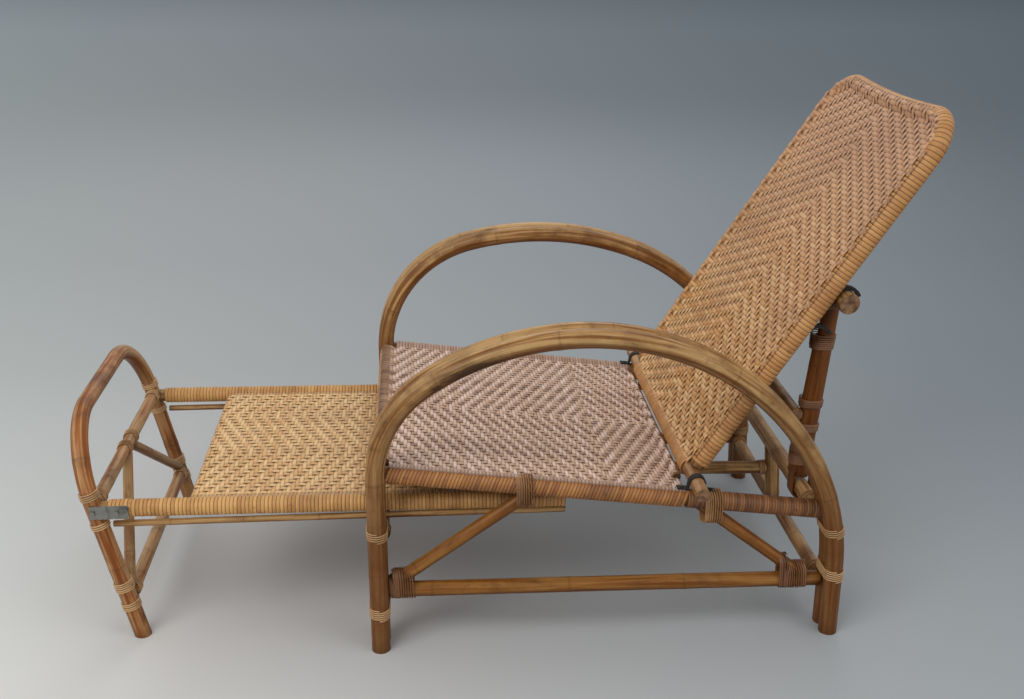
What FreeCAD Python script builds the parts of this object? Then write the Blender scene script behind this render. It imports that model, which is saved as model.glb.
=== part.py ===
"""Steamer deck chair of rattan and cane poles with woven panels.

X runs from the footrest (-X) to the backrest (+X), Y across the chair, Z up from the floor. All sizes are in
millimetres. Lengths along X in the sheet are counted from the front legs; front_leg_x moves the whole chair so
that the middle of its outline stands on the origin.
"""
import FreeCAD, Part
import math
import os
import re
import Sketcher

Vector = FreeCAD.Vector
SIDES = {"left": -1, "right": 1}
ALONG = (1, 0, 0)
ACROSS = (0, 1, 0)

SIZES = {
    "front_leg_x": -209.5,
    "floor_margin": 20,
    "fit_gap": 0.2,
    "arch_dia": 30,
    "arch_outer_y": 306,
    "arch_inner_y": 275.8,
    "arch_leg_run": 356.7,
    "arch_front_radius": 140.6,
    "arch_front_turn": 59.2,
    "arch_arm_radius": 527.4,
    "arch_arm_turn": 40.2,
    "arch_rear_radius": 404,
    "arch_rear_turn": 78.1,
    "arch_rear_run": 164,
    "rail_y": 283,
    "rail_z": 316.9,
    "rail_fall": 0.1248,
    "rail_core_dia": 26,
    "rail_wrap_dia": 32,
    "rail_start_x": 10,
    "rail_end_x": 752,
    "seat_front_x": 14,
    "seat_rear_x": 500,
    "seat_rear_lift": 7.5,
    "seat_rear_dia": 11,
    "seat_roll_dia": 16,
    "weave_thick": 6,
    "weave_lift": 9,
    "stretcher_dia": 26,
    "stretcher_front_z": 100.3,
    "stretcher_fall": 0.01247,
    "brace_dia": 22,
    "front_stretcher_dia": 27,
    "front_stretcher_x": 9,
    "front_stretcher_z": 195,
    "crossbar_dia": 28,
    "crossbar_x": 736,
    "crossbar_z": 222,
    "rear_stretcher_dia": 24,
    "rear_stretcher_x": 756,
    "rear_stretcher_z": 90,
    "strut_dia": 28,
    "runner_dia": 24,
    "runner_z": 179.2,
    "runner_fall": 0.0253,
    "pivot_x": 529,
    "pivot_z": 279.4,
    "pivot_dia": 24,
    "pivot_half": 328,
    "pivot_roll_dia": 30,
    "saddle_y": 281,
    "saddle_width": 12,
    "saddle_thick": 2.5,
    "saddle_reach": 32,
    "nail_head_dia": 5,
    "nail_head_high": 1.4,
    "back_y": 243,
    "back_tilt": 57.2,
    "back_core_dia": 26,
    "back_wrap_dia": 32,
    "back_side_run": 621,
    "back_corner": 65,
    "back_dip": 4,
    "back_weave_thick": 8,
    "back_weave_lift": 6,
    "back_weave_start": 22,
    "hook_y": 236,
    "hook_at": 376,
    "low_hook_at": 300,
    "hook_off": 36,
    "hook_gap": 1.2,
    "hook_thick": 6,
    "hook_width": 10,
    "hook_shank": 42,
    "hook_tip": 52.8,
    "prop_y": 195,
    "prop_dia": 28,
    "prop_rod_dia": 35,
    "prop_rod_half": 257,
    "prop_strap": 7,
    "prop_strap_width": 26,
    "prop_tail": 9,
    "prop_tail_top": 281,
    "prop_bar_dia": 24,
    "prop_bar_at": 138.5,
    "prop_bar_half": 207,
    "foot_rail_y": 235,
    "foot_rail_z": 238.66,
    "foot_rail_fall": 0.00997,
    "foot_rail_dia": 24,
    "foot_wrap_dia": 30,
    "foot_front_x": -435,
    "foot_rear_x": 317,
    "foot_weave_x": -298,
    "foot_weave_lift": 6,
    "foot_cross_dia": 12,
    "foot_roll_dia": 18,
    "skid_dia": 11,
    "skid_z": 214.5,
    "glide_dia": 25,
    "glide_x": 305,
    "glide_z": 196.4,
    "glide_half": 252,
    "loop_dia": 28,
    "loop_x": -401.8,
    "loop_lean": 12.4,
    "loop_y": 235.2,
    "loop_run": 256,
    "loop_corner": 130,
    "loop_upper_z": 250,
    "loop_lower_z": 78,
    "loop_rail_dia": 22,
    "loop_strut_dia": 18,
    "plate_long": 62,
    "plate_high": 23,
    "plate_thick": 2,
    "bolt_head_dia": 9,
    "bolt_head_high": 3.5,
    "cane_dia": 4.6,
    "cane_pitch": 5.4,
}

doc = FreeCAD.newDocument("steamer_deck_chair")
sheet = doc.addObject("Spreadsheet::Sheet", "Sizes")
for row, (alias, size) in enumerate(SIZES.items(), start=1):
    sheet.set(f"A{row}", alias)
    sheet.set(f"B{row}", str(size))
    sheet.setAlias(f"B{row}", alias)
doc.recompute()

nodes = {}


def bound(text):
    """An expression in which each named size points at its cell."""
    return re.sub(r"[a-z_]+", lambda word: "Sizes." + word[0] if word[0] in SIZES else word[0], str(text))


def value(text):
    return float(sheet.evalExpression(bound(text)))


def point(place):
    """A place given as three expressions, counted from the front legs."""
    x, y, z = place
    return Vector(value(f"front_leg_x + ({x})"), value(y), value(z))


def keep(name, obj, solids=1):
    """Names a finished sub-part and says how many separate solids it has."""
    obj.Label = name
    nodes[name] = (obj, solids)
    return obj


def pole(label, start, end, dia):
    """A straight round pole between two places."""
    obj = doc.addObject("Part::Cylinder", label)
    run = " + ".join(f"(({b}) - ({a})) ^ 2" for a, b in zip(start, end))
    obj.setExpression("Radius", bound(f"({dia}) / 2"))
    obj.setExpression("Height", bound(f"sqrt({run})"))
    first = point(start)
    turn = FreeCAD.Rotation(Vector(0, 0, 1), point(end) - first)
    obj.Placement = FreeCAD.Placement(first, turn)
    return obj


def cross_pole(label, x, z, half, dia):
    """A pole across the chair, from -half to +half."""
    return pole(label, (x, f"-({half})", z), (x, half, z), dia)


def block(label, length, width, height, place):
    obj = doc.addObject("Part::Box", label)
    obj.setExpression("Length", bound(length))
    obj.setExpression("Width", bound(width))
    obj.setExpression("Height", bound(height))
    obj.Placement = place
    return obj


def fuse(label, shapes):
    obj = doc.addObject("Part::MultiFuse", label)
    obj.Shapes = shapes
    return obj


def cut(label, base, tools):
    """The base with every tool taken away."""
    obj = doc.addObject("Part::Cut", label)
    obj.Base = base
    obj.Tool = tools[0] if len(tools) == 1 else fuse(label + "_tools", tools)
    return obj


def group(label, shapes):
    obj = doc.addObject("Part::Compound", label)
    obj.Links = shapes
    return obj


def plane_of(body, role):
    return next(item for item in body.Origin.OriginFeatures if item.Role == role)


def new_sketch(body, role, label):
    sketch = body.newObject("Sketcher::SketchObject", label)
    sketch.AttachmentSupport = [(plane_of(body, role), "")]
    sketch.MapMode = "FlatFace"
    return sketch


def constrain(sketch, kind, geometry, name, text, unit=""):
    """Adds one sized constraint and binds it to the sheet."""
    number = value(text)
    if unit == "deg":
        number = math.radians(number)
    index = sketch.addConstraint(Sketcher.Constraint(kind, *geometry, number))
    sketch.renameConstraint(index, name)
    sketch.setExpression(f"Constraints.{name}", bound(f"({text})") + (f" * 1 {unit}" if unit else ""))


def bent_pole(label, plane, start, steps, dia, place):
    """A pole that rises straight from its start, then follows runs and bends in one plane.

    The plane is given by its across direction. A step is ("run", length) or ("bend", radius, turn); a positive
    turn is clockwise.
    """
    across = Vector(*plane)
    normal = across.cross(Vector(0, 0, 1))
    at = across * value(start[0]) + Vector(0, 0, value(start[1]))
    ahead = Vector(0, 0, 1)
    pieces = []
    for number, step in enumerate(steps):
        if step[0] == "run":
            piece = doc.addObject("Part::Cylinder", f"{label}_run_{number}")
            piece.setExpression("Radius", bound(f"({dia}) / 2"))
            piece.setExpression("Height", bound(step[1]))
            piece.Placement = place * FreeCAD.Placement(at, FreeCAD.Rotation(Vector(0, 0, 1), ahead))
            at = at + ahead * value(step[1])
        else:
            turn = value(step[2])
            inward = (normal if turn < 0 else -normal).cross(ahead)
            centre = at + inward * value(step[1])
            swing = FreeCAD.Rotation(normal, -turn)
            after = centre - swing.multVec(inward) * value(step[1])
            first = (after if turn > 0 else at) - centre
            piece = doc.addObject("Part::Torus", f"{label}_bend_{number}")
            piece.setExpression("Radius1", bound(step[1]))
            piece.setExpression("Radius2", bound(f"({dia}) / 2"))
            piece.setExpression("Angle3", bound(f"abs({step[2]})"))
            facing = FreeCAD.Rotation(first, normal.cross(first), normal, "ZXY")
            piece.Placement = place * FreeCAD.Placement(centre, facing)
            at = after
            ahead = swing.multVec(ahead)
        pieces.append(piece)
    return fuse(label, pieces)


def profile_pad(label, corners, bends, width, place):
    """A flat bar cut to an outline in its own XZ plane, as wide as given across Y.

    corners are pairs of expressions; bends gives, for the side that starts at a corner, its arc's middle point.
    """
    body = doc.addObject("PartDesign::Body", label)
    sketch = new_sketch(body, "XZ_Plane", label + "_outline")
    ends = [Vector(value(a), value(b), 0) for a, b in corners]
    for number, first in enumerate(ends):
        last = ends[(number + 1) % len(ends)]
        if number in bends:
            middle = Vector(value(bends[number][0]), value(bends[number][1]), 0)
            sketch.addGeometry(Part.Arc(first, middle, last))
        else:
            sketch.addGeometry(Part.LineSegment(first, last))
    pad = body.newObject("PartDesign::Pad", label + "_pad")
    pad.Profile = sketch
    pad.Midplane = True
    pad.setExpression("Length", bound(width))
    body.Placement = place
    return body


def feature(label, shape):
    obj = doc.addObject("Part::Feature", label)
    obj.Shape = shape
    return obj


def least_gap(wire, dia, turn_length):
    """The clear space between turns, measured on points along the middle of the strip."""
    spots = wire.discretize(Distance=3)
    skip = int(turn_length / 6)
    pairs = ((a, b) for i, a in enumerate(spots) for b in spots[i + skip:])
    return min((a - b).Length for a, b in pairs) - dia


def winding(label, centres, axis, radius, turns):
    """Cane wound round one pole or two side by side: half turns, joined by straight runs across the two."""
    axis = Vector(axis).normalize()
    gap = centres[1] - centres[0]
    gap -= axis * gap.dot(axis)
    spread = gap.Length
    across = gap / spread if spread > 0.01 else axis.cross(Vector(0, 1, 0)).normalize()
    side = axis.cross(across)
    pitch = value("cane_pitch")
    dia = value("cane_dia")
    lie = value(f"({radius}) + fit_gap") + dia / 2
    bulge = math.hypot(lie, pitch / 4)
    edges = []
    for half in range(2 * turns):
        sign = -1 if half % 2 == 0 else 1
        climb = axis * pitch * (half / 2 + 0.25 - turns / 2)
        middle = (centres[0] if sign < 0 else centres[0] + gap) + climb
        start = middle - side * lie * sign - axis * pitch / 4
        end = middle + side * lie * sign + axis * pitch / 4
        edges.append(Part.Arc(start, middle + across * bulge * sign, end).toShape())
        if spread > 0.01 and half < 2 * turns - 1:
            edges.append(Part.LineSegment(end, end - gap * sign).toShape())
    wire = Part.Wire(edges)
    first = wire.OrderedVertexes[0].Point
    corners = [first + (side * a + axis * b) * dia / 2 for a, b in ((1, 0), (0, 1), (-1, 0), (0, -1), (1, 0))]
    shell = Part.BRepOffsetAPI.MakePipeShell(wire)
    shell.add(Part.Wire(Part.makePolygon(corners)))
    shell.build()
    shell.makeSolid()
    space = least_gap(wire, dia, 2 * math.pi * lie + 2 * spread)
    print(f"{label}: {turns} turns, least gap {space:.2f} mm")
    return feature(label, shell.shape())


def rail_height(x):
    """Height of the seat rails' middle line."""
    return f"rail_z - rail_fall * ({x})"


def stretcher_height(x):
    return f"stretcher_front_z - stretcher_fall * ({x})"


def foot_height(x):
    return f"foot_rail_z - foot_rail_fall * ({x})"


def back_place(s, n, y):
    """A place on the back, s up along it from the pivot and n behind it."""
    x = f"pivot_x + ({s}) * cos(back_tilt) + ({n}) * sin(back_tilt)"
    z = f"pivot_z + ({s}) * sin(back_tilt) - ({n}) * cos(back_tilt)"
    return x, y, z


def floor_block():
    """Everything below the floor, to trim the feet."""
    corner = FreeCAD.Placement(Vector(-800, -400, -60), FreeCAD.Rotation())
    return block("floor_block", "1600", "800", "60", corner)


def arches(floor):
    """Two bent poles side by side make the front leg, arm and rear leg of each side."""
    steps = [("run", "arch_leg_run"), ("bend", "arch_front_radius", "arch_front_turn"),
             ("bend", "arch_arm_radius", "arch_arm_turn"), ("bend", "arch_rear_radius", "arch_rear_turn"),
             ("run", "arch_rear_run + floor_margin")]
    made = []
    for side, sign in SIDES.items():
        for layer in ("outer", "inner"):
            place = FreeCAD.Placement(point(("0", f"{sign} * arch_{layer}_y", "0")), FreeCAD.Rotation())
            name = f"arch_{side}_{layer}"
            bent = bent_pole(name + "_bent", ALONG, ("0", "0"), steps, "arch_dia", place)
            made.append(keep(name, cut(name, bent, [floor])))
    return made


def seat(arch_poles):
    """Side rails, front and rear rails, and the weaving that wraps them."""
    cores, sleeves, holes = [], [], []
    for side, sign in SIDES.items():
        y = f"{sign} * rail_y"

        def along(label, x0, x1, dia):
            return pole(label, (x0, y, rail_height(x0)), (x1, y, rail_height(x1)), dia)

        core = along(f"rail_{side}_whole", "rail_start_x", "rail_end_x", "rail_core_dia")
        name = f"seat_side_rail_{side}"
        cores.append(keep(name, cut(name, core, [arch_poles])))
        sleeves.append(along(f"rail_{side}_sleeve", "arch_dia / 2 + 3.5", "pivot_x - 17", "rail_wrap_dia"))
        holes.append(along(f"rail_{side}_hole", "0", "rail_end_x + 20", "rail_core_dia + fit_gap"))
        rear = along(f"rail_{side}_rear", "pivot_x - 16.5", "rail_end_x", "rail_wrap_dia")
        name = f"rail_wrap_{side}"
        keep(name, cut(name, rear, [holes[-1], arch_poles]))
    front = ("seat_front_x", rail_height("seat_front_x"))
    rear = ("seat_rear_x", rail_height("seat_rear_x") + " + seat_rear_lift")
    whole = cross_pole("seat_front_whole", *front, "rail_y - rail_core_dia / 2 - fit_gap", "rail_core_dia")
    keep("seat_front_rail", cut("seat_front_rail", whole, [arch_poles]))
    keep("seat_rear_rail", cross_pole("seat_rear_rail", *rear, "rail_y - 15", "seat_rear_dia"))
    front_roll = cross_pole("seat_front_roll", *front, "arch_inner_y - arch_dia / 2 - 2", "rail_wrap_dia")
    rear_roll = cross_pole("seat_rear_roll", *rear, "rail_y - 4", "seat_roll_dia")
    holes.append(cross_pole("seat_front_hole", *front, "rail_y", "rail_core_dia + fit_gap"))
    holes.append(cross_pole("seat_rear_hole", *rear, "rail_y - 15 + fit_gap", "seat_rear_dia + fit_gap"))
    turn = FreeCAD.Rotation(Vector(0, 1, 0), math.degrees(math.atan(value("rail_fall"))))
    corner = point(("arch_dia / 2 + 2", "-rail_y", rail_height("arch_dia / 2 + 2") + " + weave_lift - weave_thick / 2"))
    sheet_length = "(seat_rear_x - arch_dia / 2 - 2) * sqrt(1 + rail_fall ^ 2)"
    panel = block("seat_panel", sheet_length, "2 * rail_y", "weave_thick", FreeCAD.Placement(corner, turn))
    woven = fuse("seat_woven", [panel, front_roll, rear_roll] + sleeves)
    keep("seat_weave", cut("seat_weave", woven, holes))
    return cores


def side_frames(arch_poles):
    """Low side stretchers and the slanting braces that stiffen each arch."""
    for side, sign in SIDES.items():
        y = f"{sign} * rail_y"
        low = pole(f"stretcher_{side}_whole", ("rail_start_x", y, stretcher_height("rail_start_x")),
                   ("rail_end_x + 2", y, stretcher_height("rail_end_x + 2")), "stretcher_dia")
        stretcher = keep(f"side_stretcher_{side}", cut(f"side_stretcher_{side}", low, [arch_poles]))
        rail = pole(f"rail_{side}_outline", ("0", y, rail_height("0")), ("rail_end_x", y, rail_height("rail_end_x")),
                    "rail_wrap_dia + fit_gap")
        spots = {"front": (("16.8", y, "104.3"), ("257", y, "276.7")),
                 "rear": (("530", y, "247.1"), ("722.3", y, "98.1"))}
        for end, (low_end, high_end) in spots.items():
            whole = pole(f"{end}_brace_{side}_whole", low_end, high_end, "brace_dia")
            name = f"{end}_brace_{side}"
            keep(name, cut(name, whole, [arch_poles, stretcher, rail]))


def cross_frame(arch_poles, cores):
    """The poles that tie the two arches together under the seat."""
    half = "rail_y - rail_core_dia / 2 - 2"
    whole = cross_pole("front_stretcher_whole", "front_stretcher_x", "front_stretcher_z", half, "front_stretcher_dia")
    front = keep("front_stretcher", cut("front_stretcher", whole, [arch_poles]))
    whole = cross_pole("rear_crossbar_whole", "crossbar_x", "crossbar_z", "rail_y - rail_wrap_dia / 2 + 1", "crossbar_dia")
    rails = [nodes["rail_wrap_left"][0], nodes["rail_wrap_right"][0]]
    crossbar = keep("rear_crossbar", cut("rear_crossbar", whole, [arch_poles] + rails))
    whole = cross_pole("rear_stretcher_whole", "rear_stretcher_x", "rear_stretcher_z", half, "rear_stretcher_dia")
    low = keep("rear_stretcher", cut("rear_stretcher", whole, [arch_poles]))
    whole = pole("rear_strut_whole", ("743.5", "0", "crossbar_z - 4"), ("753.5", "0", "rear_stretcher_z + 4"), "strut_dia")
    strut = keep("rear_strut", cut("rear_strut", whole, [crossbar, low]))
    height = "runner_z - runner_fall * "
    whole = pole("runner_whole", ("13", "0", height + "13"), ("742", "0", height + "742"), "runner_dia")
    keep("centre_runner", cut("centre_runner", whole, [front, strut]))


def saddles():
    """Iron straps over the pivot rod, nailed down on the seat rails."""
    inner = "pivot_dia / 2 + fit_gap"
    outer = "pivot_dia / 2 + fit_gap + saddle_thick"
    rise = "pivot_dia / 2"
    corners = [("-saddle_reach", "0"), (f"-({inner})", "0"), (f"-({inner})", rise), (inner, rise), (inner, "0"),
               ("saddle_reach", "0"), ("saddle_reach", "saddle_thick"), (outer, "saddle_thick"), (outer, rise),
               (f"-({outer})", rise), (f"-({outer})", "saddle_thick"), ("-saddle_reach", "saddle_thick")]
    bends = {2: ("0", f"{rise} + {inner}"), 8: ("0", f"{rise} + {outer}")}
    turn = FreeCAD.Rotation(Vector(0, 1, 0), math.degrees(math.atan(value("rail_fall"))))
    drop = turn.multVec(Vector(0, 0, -value(rise)))
    heads = []
    for side, sign in SIDES.items():
        foot = point(("pivot_x", f"{sign} * saddle_y", "pivot_z")) + drop
        place = FreeCAD.Placement(foot, turn)
        keep(f"hinge_saddle_{side}", profile_pad(f"hinge_saddle_{side}", corners, bends, "saddle_width", place))
        for end in (-1, 1):
            spot = Vector(end * value("saddle_reach - 8"), 0, value("saddle_thick"))
            head = doc.addObject("Part::Prism", "nail_head")
            head.Polygon = 8
            head.setExpression("Circumradius", bound("nail_head_dia / 2"))
            head.setExpression("Height", bound("nail_head_high"))
            head.Placement = place.multiply(FreeCAD.Placement(spot, FreeCAD.Rotation()))
            heads.append(head)
    keep("saddle_nails", group("saddle_nails", heads), len(heads))


def footrest(floor):
    """The sliding part: a bent foot loop, two wrapped rails, woven panel, skids and glide."""
    steps = [("run", "loop_run + floor_margin"), ("bend", "loop_corner", "90"), ("run", "2 * (loop_y - loop_corner)"),
             ("bend", "loop_corner", "90"), ("run", "loop_run + floor_margin")]
    lean = FreeCAD.Rotation(Vector(0, 1, 0), -value("loop_lean"))
    foot = point(("loop_x", "0", "0"))
    bent = bent_pole("foot_loop_bent", ACROSS, ("-loop_y", "-floor_margin"), steps, "loop_dia",
                     FreeCAD.Placement(foot, lean))
    loop = keep("foot_loop", cut("foot_loop", bent, [floor]))

    def on_loop(z):
        return f"loop_x - ({z}) * tan(loop_lean)"

    upper = cross_pole("upper_rail_whole", on_loop("loop_upper_z") + " + 4", "loop_upper_z", "loop_y - 8", "loop_rail_dia")
    upper = keep("loop_upper_rail", cut("loop_upper_rail", upper, [loop]))
    lower = cross_pole("lower_rail_whole", on_loop("loop_lower_z") + " + 5", "loop_lower_z", "loop_y - 8", "loop_rail_dia")
    lower = keep("loop_lower_rail", cut("loop_lower_rail", lower, [loop]))
    wraps, runners = [], []
    for side, sign in SIDES.items():
        y = f"{sign} * foot_rail_y"

        def along(label, x0, x1, dia):
            return pole(label, (x0, y, foot_height(x0)), (x1, y, foot_height(x1)), dia)

        whole = along(f"foot_rail_{side}_whole", "foot_front_x - 16", "foot_rear_x", "foot_rail_dia")
        keep(f"foot_side_rail_{side}", cut(f"foot_side_rail_{side}", whole, [loop, upper]))
        hole = along(f"foot_rail_{side}_hole", "foot_front_x - 20", "foot_rear_x + 20", "foot_rail_dia + fit_gap")
        whole = along(f"foot_wrap_{side}_whole", "foot_front_x + 4", "foot_rear_x - 1", "foot_wrap_dia")
        wraps.append(keep(f"foot_rail_wrap_{side}", cut(f"foot_rail_wrap_{side}", whole, [hole, loop, upper])))
        whole = pole(f"skid_{side}_whole", ("foot_front_x - 10", y, "skid_z"), ("foot_rear_x + 1", y, "skid_z"), "skid_dia")
        runners.append(keep(f"foot_skid_{side}", cut(f"foot_skid_{side}", whole, [loop])))
        top = (on_loop("loop_upper_z - 8") + " + 4", f"{sign} * 16", "loop_upper_z - 8")
        base = (on_loop("loop_lower_z + 14") + " + 5", f"{sign} * (loop_y - 10)", "loop_lower_z + 8")
        whole = pole(f"loop_strut_{side}_whole", top, base, "loop_strut_dia")
        keep(f"loop_strut_{side}", cut(f"loop_strut_{side}", whole, [upper, lower, loop]))
    reach = "foot_rail_y - foot_wrap_dia / 2 - fit_gap"
    front = ("foot_weave_x", foot_height("foot_weave_x") + " + foot_weave_lift")
    rear = ("foot_rear_x - 10", foot_height("foot_rear_x - 10"))
    front_rail = keep("foot_front_rail", cross_pole("foot_front_rail", *front, reach, "foot_cross_dia"))
    rear_rail = keep("foot_rear_rail", cross_pole("foot_rear_rail", *rear, reach, "foot_cross_dia"))
    inset = "foot_rail_y - foot_wrap_dia / 2 + 1"
    rolls = [cross_pole("foot_front_roll", *front, inset, "foot_roll_dia"),
             cross_pole("foot_rear_roll", *rear, inset, "foot_roll_dia")]
    holes = [cross_pole("foot_front_hole", *front, "foot_rail_y", "foot_cross_dia + fit_gap"),
             cross_pole("foot_rear_hole", *rear, "foot_rail_y", "foot_cross_dia + fit_gap")]
    turn = FreeCAD.Rotation(Vector(0, 1, 0), math.degrees(math.atan(value("foot_rail_fall"))))
    corner = point(("foot_weave_x", "-foot_rail_y", foot_height("foot_weave_x") + " + foot_weave_lift - weave_thick / 2"))
    panel = block("foot_panel", "foot_rear_x - 10 - foot_weave_x", "2 * foot_rail_y", "weave_thick",
                  FreeCAD.Placement(corner, turn))
    outlines = [pole(f"foot_outline_{side}", ("foot_front_x", f"{sign} * foot_rail_y", foot_height("foot_front_x")),
                     ("foot_rear_x + 5", f"{sign} * foot_rail_y", foot_height("foot_rear_x + 5")),
                     "foot_wrap_dia + fit_gap") for side, sign in SIDES.items()]
    keep("foot_weave", cut("foot_weave", fuse("foot_woven", [panel] + rolls), holes + outlines))
    keep("foot_glide", cross_pole("foot_glide", "glide_x", "glide_z", "glide_half", "glide_dia"))


def bracket():
    """A flat galvanised plate bolted over the joint of the left rail and the foot loop."""
    y = "-(foot_rail_y + foot_wrap_dia / 2 + fit_gap)"
    corner = point(("foot_front_x - 24", f"{y} - plate_thick", foot_height("foot_front_x") + " - plate_high / 2"))
    keep("loop_bracket", block("loop_bracket", "plate_long", "plate_thick", "plate_high",
                               FreeCAD.Placement(corner, FreeCAD.Rotation())))
    bolts = []
    for x in ("foot_front_x - 19", "foot_front_x + 19"):
        head = doc.addObject("Part::Prism", "bolt_head")
        head.Polygon = 6
        head.setExpression("Circumradius", bound("bolt_head_dia / 2"))
        head.setExpression("Height", bound("bolt_head_high"))
        head.Placement = FreeCAD.Placement(point((x, f"{y} - plate_thick", foot_height("foot_front_x"))),
                                           FreeCAD.Rotation(Vector(0, 0, 1), Vector(0, -1, 0)))
        bolts.append(head)
    keep("bracket_bolts", group("bracket_bolts", bolts), len(bolts))


def backrest():
    """A bent pole on a pivot rod, woven over, with two pairs of iron hooks behind."""
    rod = keep("pivot_rod", cross_pole("pivot_rod", "pivot_x", "pivot_z", "pivot_half", "pivot_dia"))
    dip_radius = "(back_y - back_corner * (1 - cos(90 + back_dip))) / sin(back_dip)"
    steps = [("run", "back_side_run"), ("bend", "back_corner", "90 + back_dip"),
             ("bend", dip_radius, "-2 * back_dip"), ("bend", "back_corner", "90 + back_dip"),
             ("run", "back_side_run")]
    turn = FreeCAD.Rotation(Vector(0, 1, 0), 90 - value("back_tilt"))
    place = FreeCAD.Placement(point(("pivot_x", "0", "pivot_z")), turn)
    whole = bent_pole("back_frame_bent", ACROSS, ("-back_y", "0"), steps, "back_core_dia", place)
    frame = keep("back_frame", cut("back_frame", whole, [rod]))
    start = ("-back_y", "back_weave_start")
    steps[0] = steps[-1] = ("run", "back_side_run - back_weave_start")
    sleeve = bent_pole("back_sleeve", ACROSS, start, steps, "back_wrap_dia", place)
    hole = bent_pole("back_hole", ACROSS, ("-back_y", "0"), [("run", "back_side_run")] + steps[1:4]
                     + [("run", "back_side_run")], "back_core_dia + fit_gap", place)
    roll = cross_pole("back_roll", "pivot_x", "pivot_z", "back_y - back_wrap_dia / 2", "pivot_roll_dia")
    lift = place.multiply(FreeCAD.Placement(
        Vector(-value("back_weave_lift + back_weave_thick / 2"), -value("back_y"), 0), FreeCAD.Rotation()))
    panel = block("back_panel", "back_weave_thick", "2 * back_y", "back_side_run + back_corner - back_core_dia / 2", lift)
    woven = fuse("back_woven", [sleeve, roll, panel])
    holes = [hole, cross_pole("pivot_hole", "pivot_x", "pivot_z", "pivot_half", "pivot_dia + fit_gap")]
    weave = keep("back_weave", cut("back_weave", woven, holes))
    hooks(place, sleeve)
    return frame, weave


def hooks(place, sleeve):
    """Iron bars bent over like an upturned J, sunk in the wrapping of the side poles."""
    inner = "prop_rod_dia / 2 + hook_gap"
    outer = "prop_rod_dia / 2 + hook_gap + hook_thick"
    root = "hook_off - back_core_dia / 2 + 2"
    arc = "(180 + hook_tip) / 2"

    def ring(radius, angle):
        return f"({radius}) * cos({angle})", f"({radius}) * sin({angle})"

    corners = [(f"-({root})", "-hook_shank"), (f"-({inner})", "-hook_shank"), (f"-({inner})", "0"),
               ring(inner, "hook_tip"), ring(outer, "hook_tip"), (f"-({outer})", "0"), (f"-({root})", "0")]
    bends = {2: ring(inner, arc), 4: ring(outer, arc)}
    for pair, at in (("upper", "hook_at"), ("lower", "low_hook_at")):
        made = []
        for side, sign in SIDES.items():
            spot = Vector(value("hook_off"), sign * value("hook_y"), value(at))
            where = place.multiply(FreeCAD.Placement(spot, FreeCAD.Rotation()))
            bar = profile_pad(f"{pair}_hook_{side}_bar", corners, bends, "hook_width", where)
            made.append(cut(f"{pair}_hook_{side}", bar, [sleeve]))
        keep(f"{pair}_hooks", group(f"{pair}_hooks", made), 2)


def prop():
    """The stand behind the back: two posts looped round the rear crossbar, a rod across their tops."""
    rod_place = back_place("hook_at", "hook_off", "0")
    foot = point(("crossbar_x", "0", "crossbar_z"))
    head = point(rod_place)
    turn = FreeCAD.Rotation(Vector(0, 0, 1), head - foot)
    length = (head - foot).Length
    place = FreeCAD.Placement(foot, turn)
    rod = keep("prop_rod", cross_pole("prop_rod", rod_place[0], rod_place[2], "prop_rod_half", "prop_rod_dia"))

    def upright(label, dia, ahead, y, low, high):
        obj = doc.addObject("Part::Cylinder", label)
        obj.setExpression("Radius", bound(f"({dia}) / 2"))
        obj.setExpression("Height", bound(f"({high}) - ({low})"))
        obj.Placement = place.multiply(FreeCAD.Placement(Vector(-value(ahead), value(y), value(low)), FreeCAD.Rotation()))
        return obj

    hole = cross_pole("prop_foot_hole", "crossbar_x", "crossbar_z", "prop_y + 40", "crossbar_dia + 3 * fit_gap")
    for side, sign in SIDES.items():
        y = f"{sign} * prop_y"
        post = upright(f"post_{side}_whole", "prop_dia", "0", y, "crossbar_dia / 2", str(length))
        tail = upright(f"post_{side}_tail", "prop_dia", "prop_tail", y, "crossbar_dia / 2", "prop_tail_top")
        near = ("crossbar_x", f"{y} - prop_strap_width / 2", "crossbar_z")
        far = ("crossbar_x", f"{y} + prop_strap_width / 2", "crossbar_z")
        loop = pole(f"post_{side}_strap", near, far, "crossbar_dia + 2 * prop_strap")
        name = f"prop_post_{side}"
        keep(name, cut(name, fuse(name + "_whole", [post, tail, loop]), [hole, rod]))
    ahead = "prop_dia / 2 + prop_tail + prop_bar_dia / 2"
    middle = place.multVec(Vector(-value(ahead), 0, value("prop_bar_at")))
    bar = doc.addObject("Part::Cylinder", "prop_crossbar")
    bar.setExpression("Radius", bound("prop_bar_dia / 2"))
    bar.setExpression("Height", bound("2 * prop_bar_half"))
    bar.Placement = FreeCAD.Placement(middle - Vector(0, value("prop_bar_half"), 0),
                                      FreeCAD.Rotation(Vector(0, 0, 1), Vector(0, 1, 0)))
    keep("prop_crossbar", bar)
    return place, length


def leg_lashings():
    """Cane round both poles of each leg, where the stretchers and rails meet them."""
    spots = {"front_low": ("0", "75.5", 0, 3), "front_high": ("0", "217", 0, 2),
             "rear_low": ("764.6", "115", 2.5, 3), "rear_high": ("759.5", "197", 7.4, 2)}
    for side, sign in SIDES.items():
        made = []
        for spot, (x, z, lean, turns) in spots.items():
            centres = [point((x, f"{sign} * arch_{layer}_y", z)) for layer in ("outer", "inner")]
            axis = Vector(-math.sin(math.radians(lean)), 0, math.cos(math.radians(lean)))
            made.append(winding(f"{spot}_{side}_lashing", centres, axis, "arch_dia / 2", turns))
        keep(f"leg_lashings_{side}", group(f"leg_lashings_{side}", made), len(made))


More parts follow.
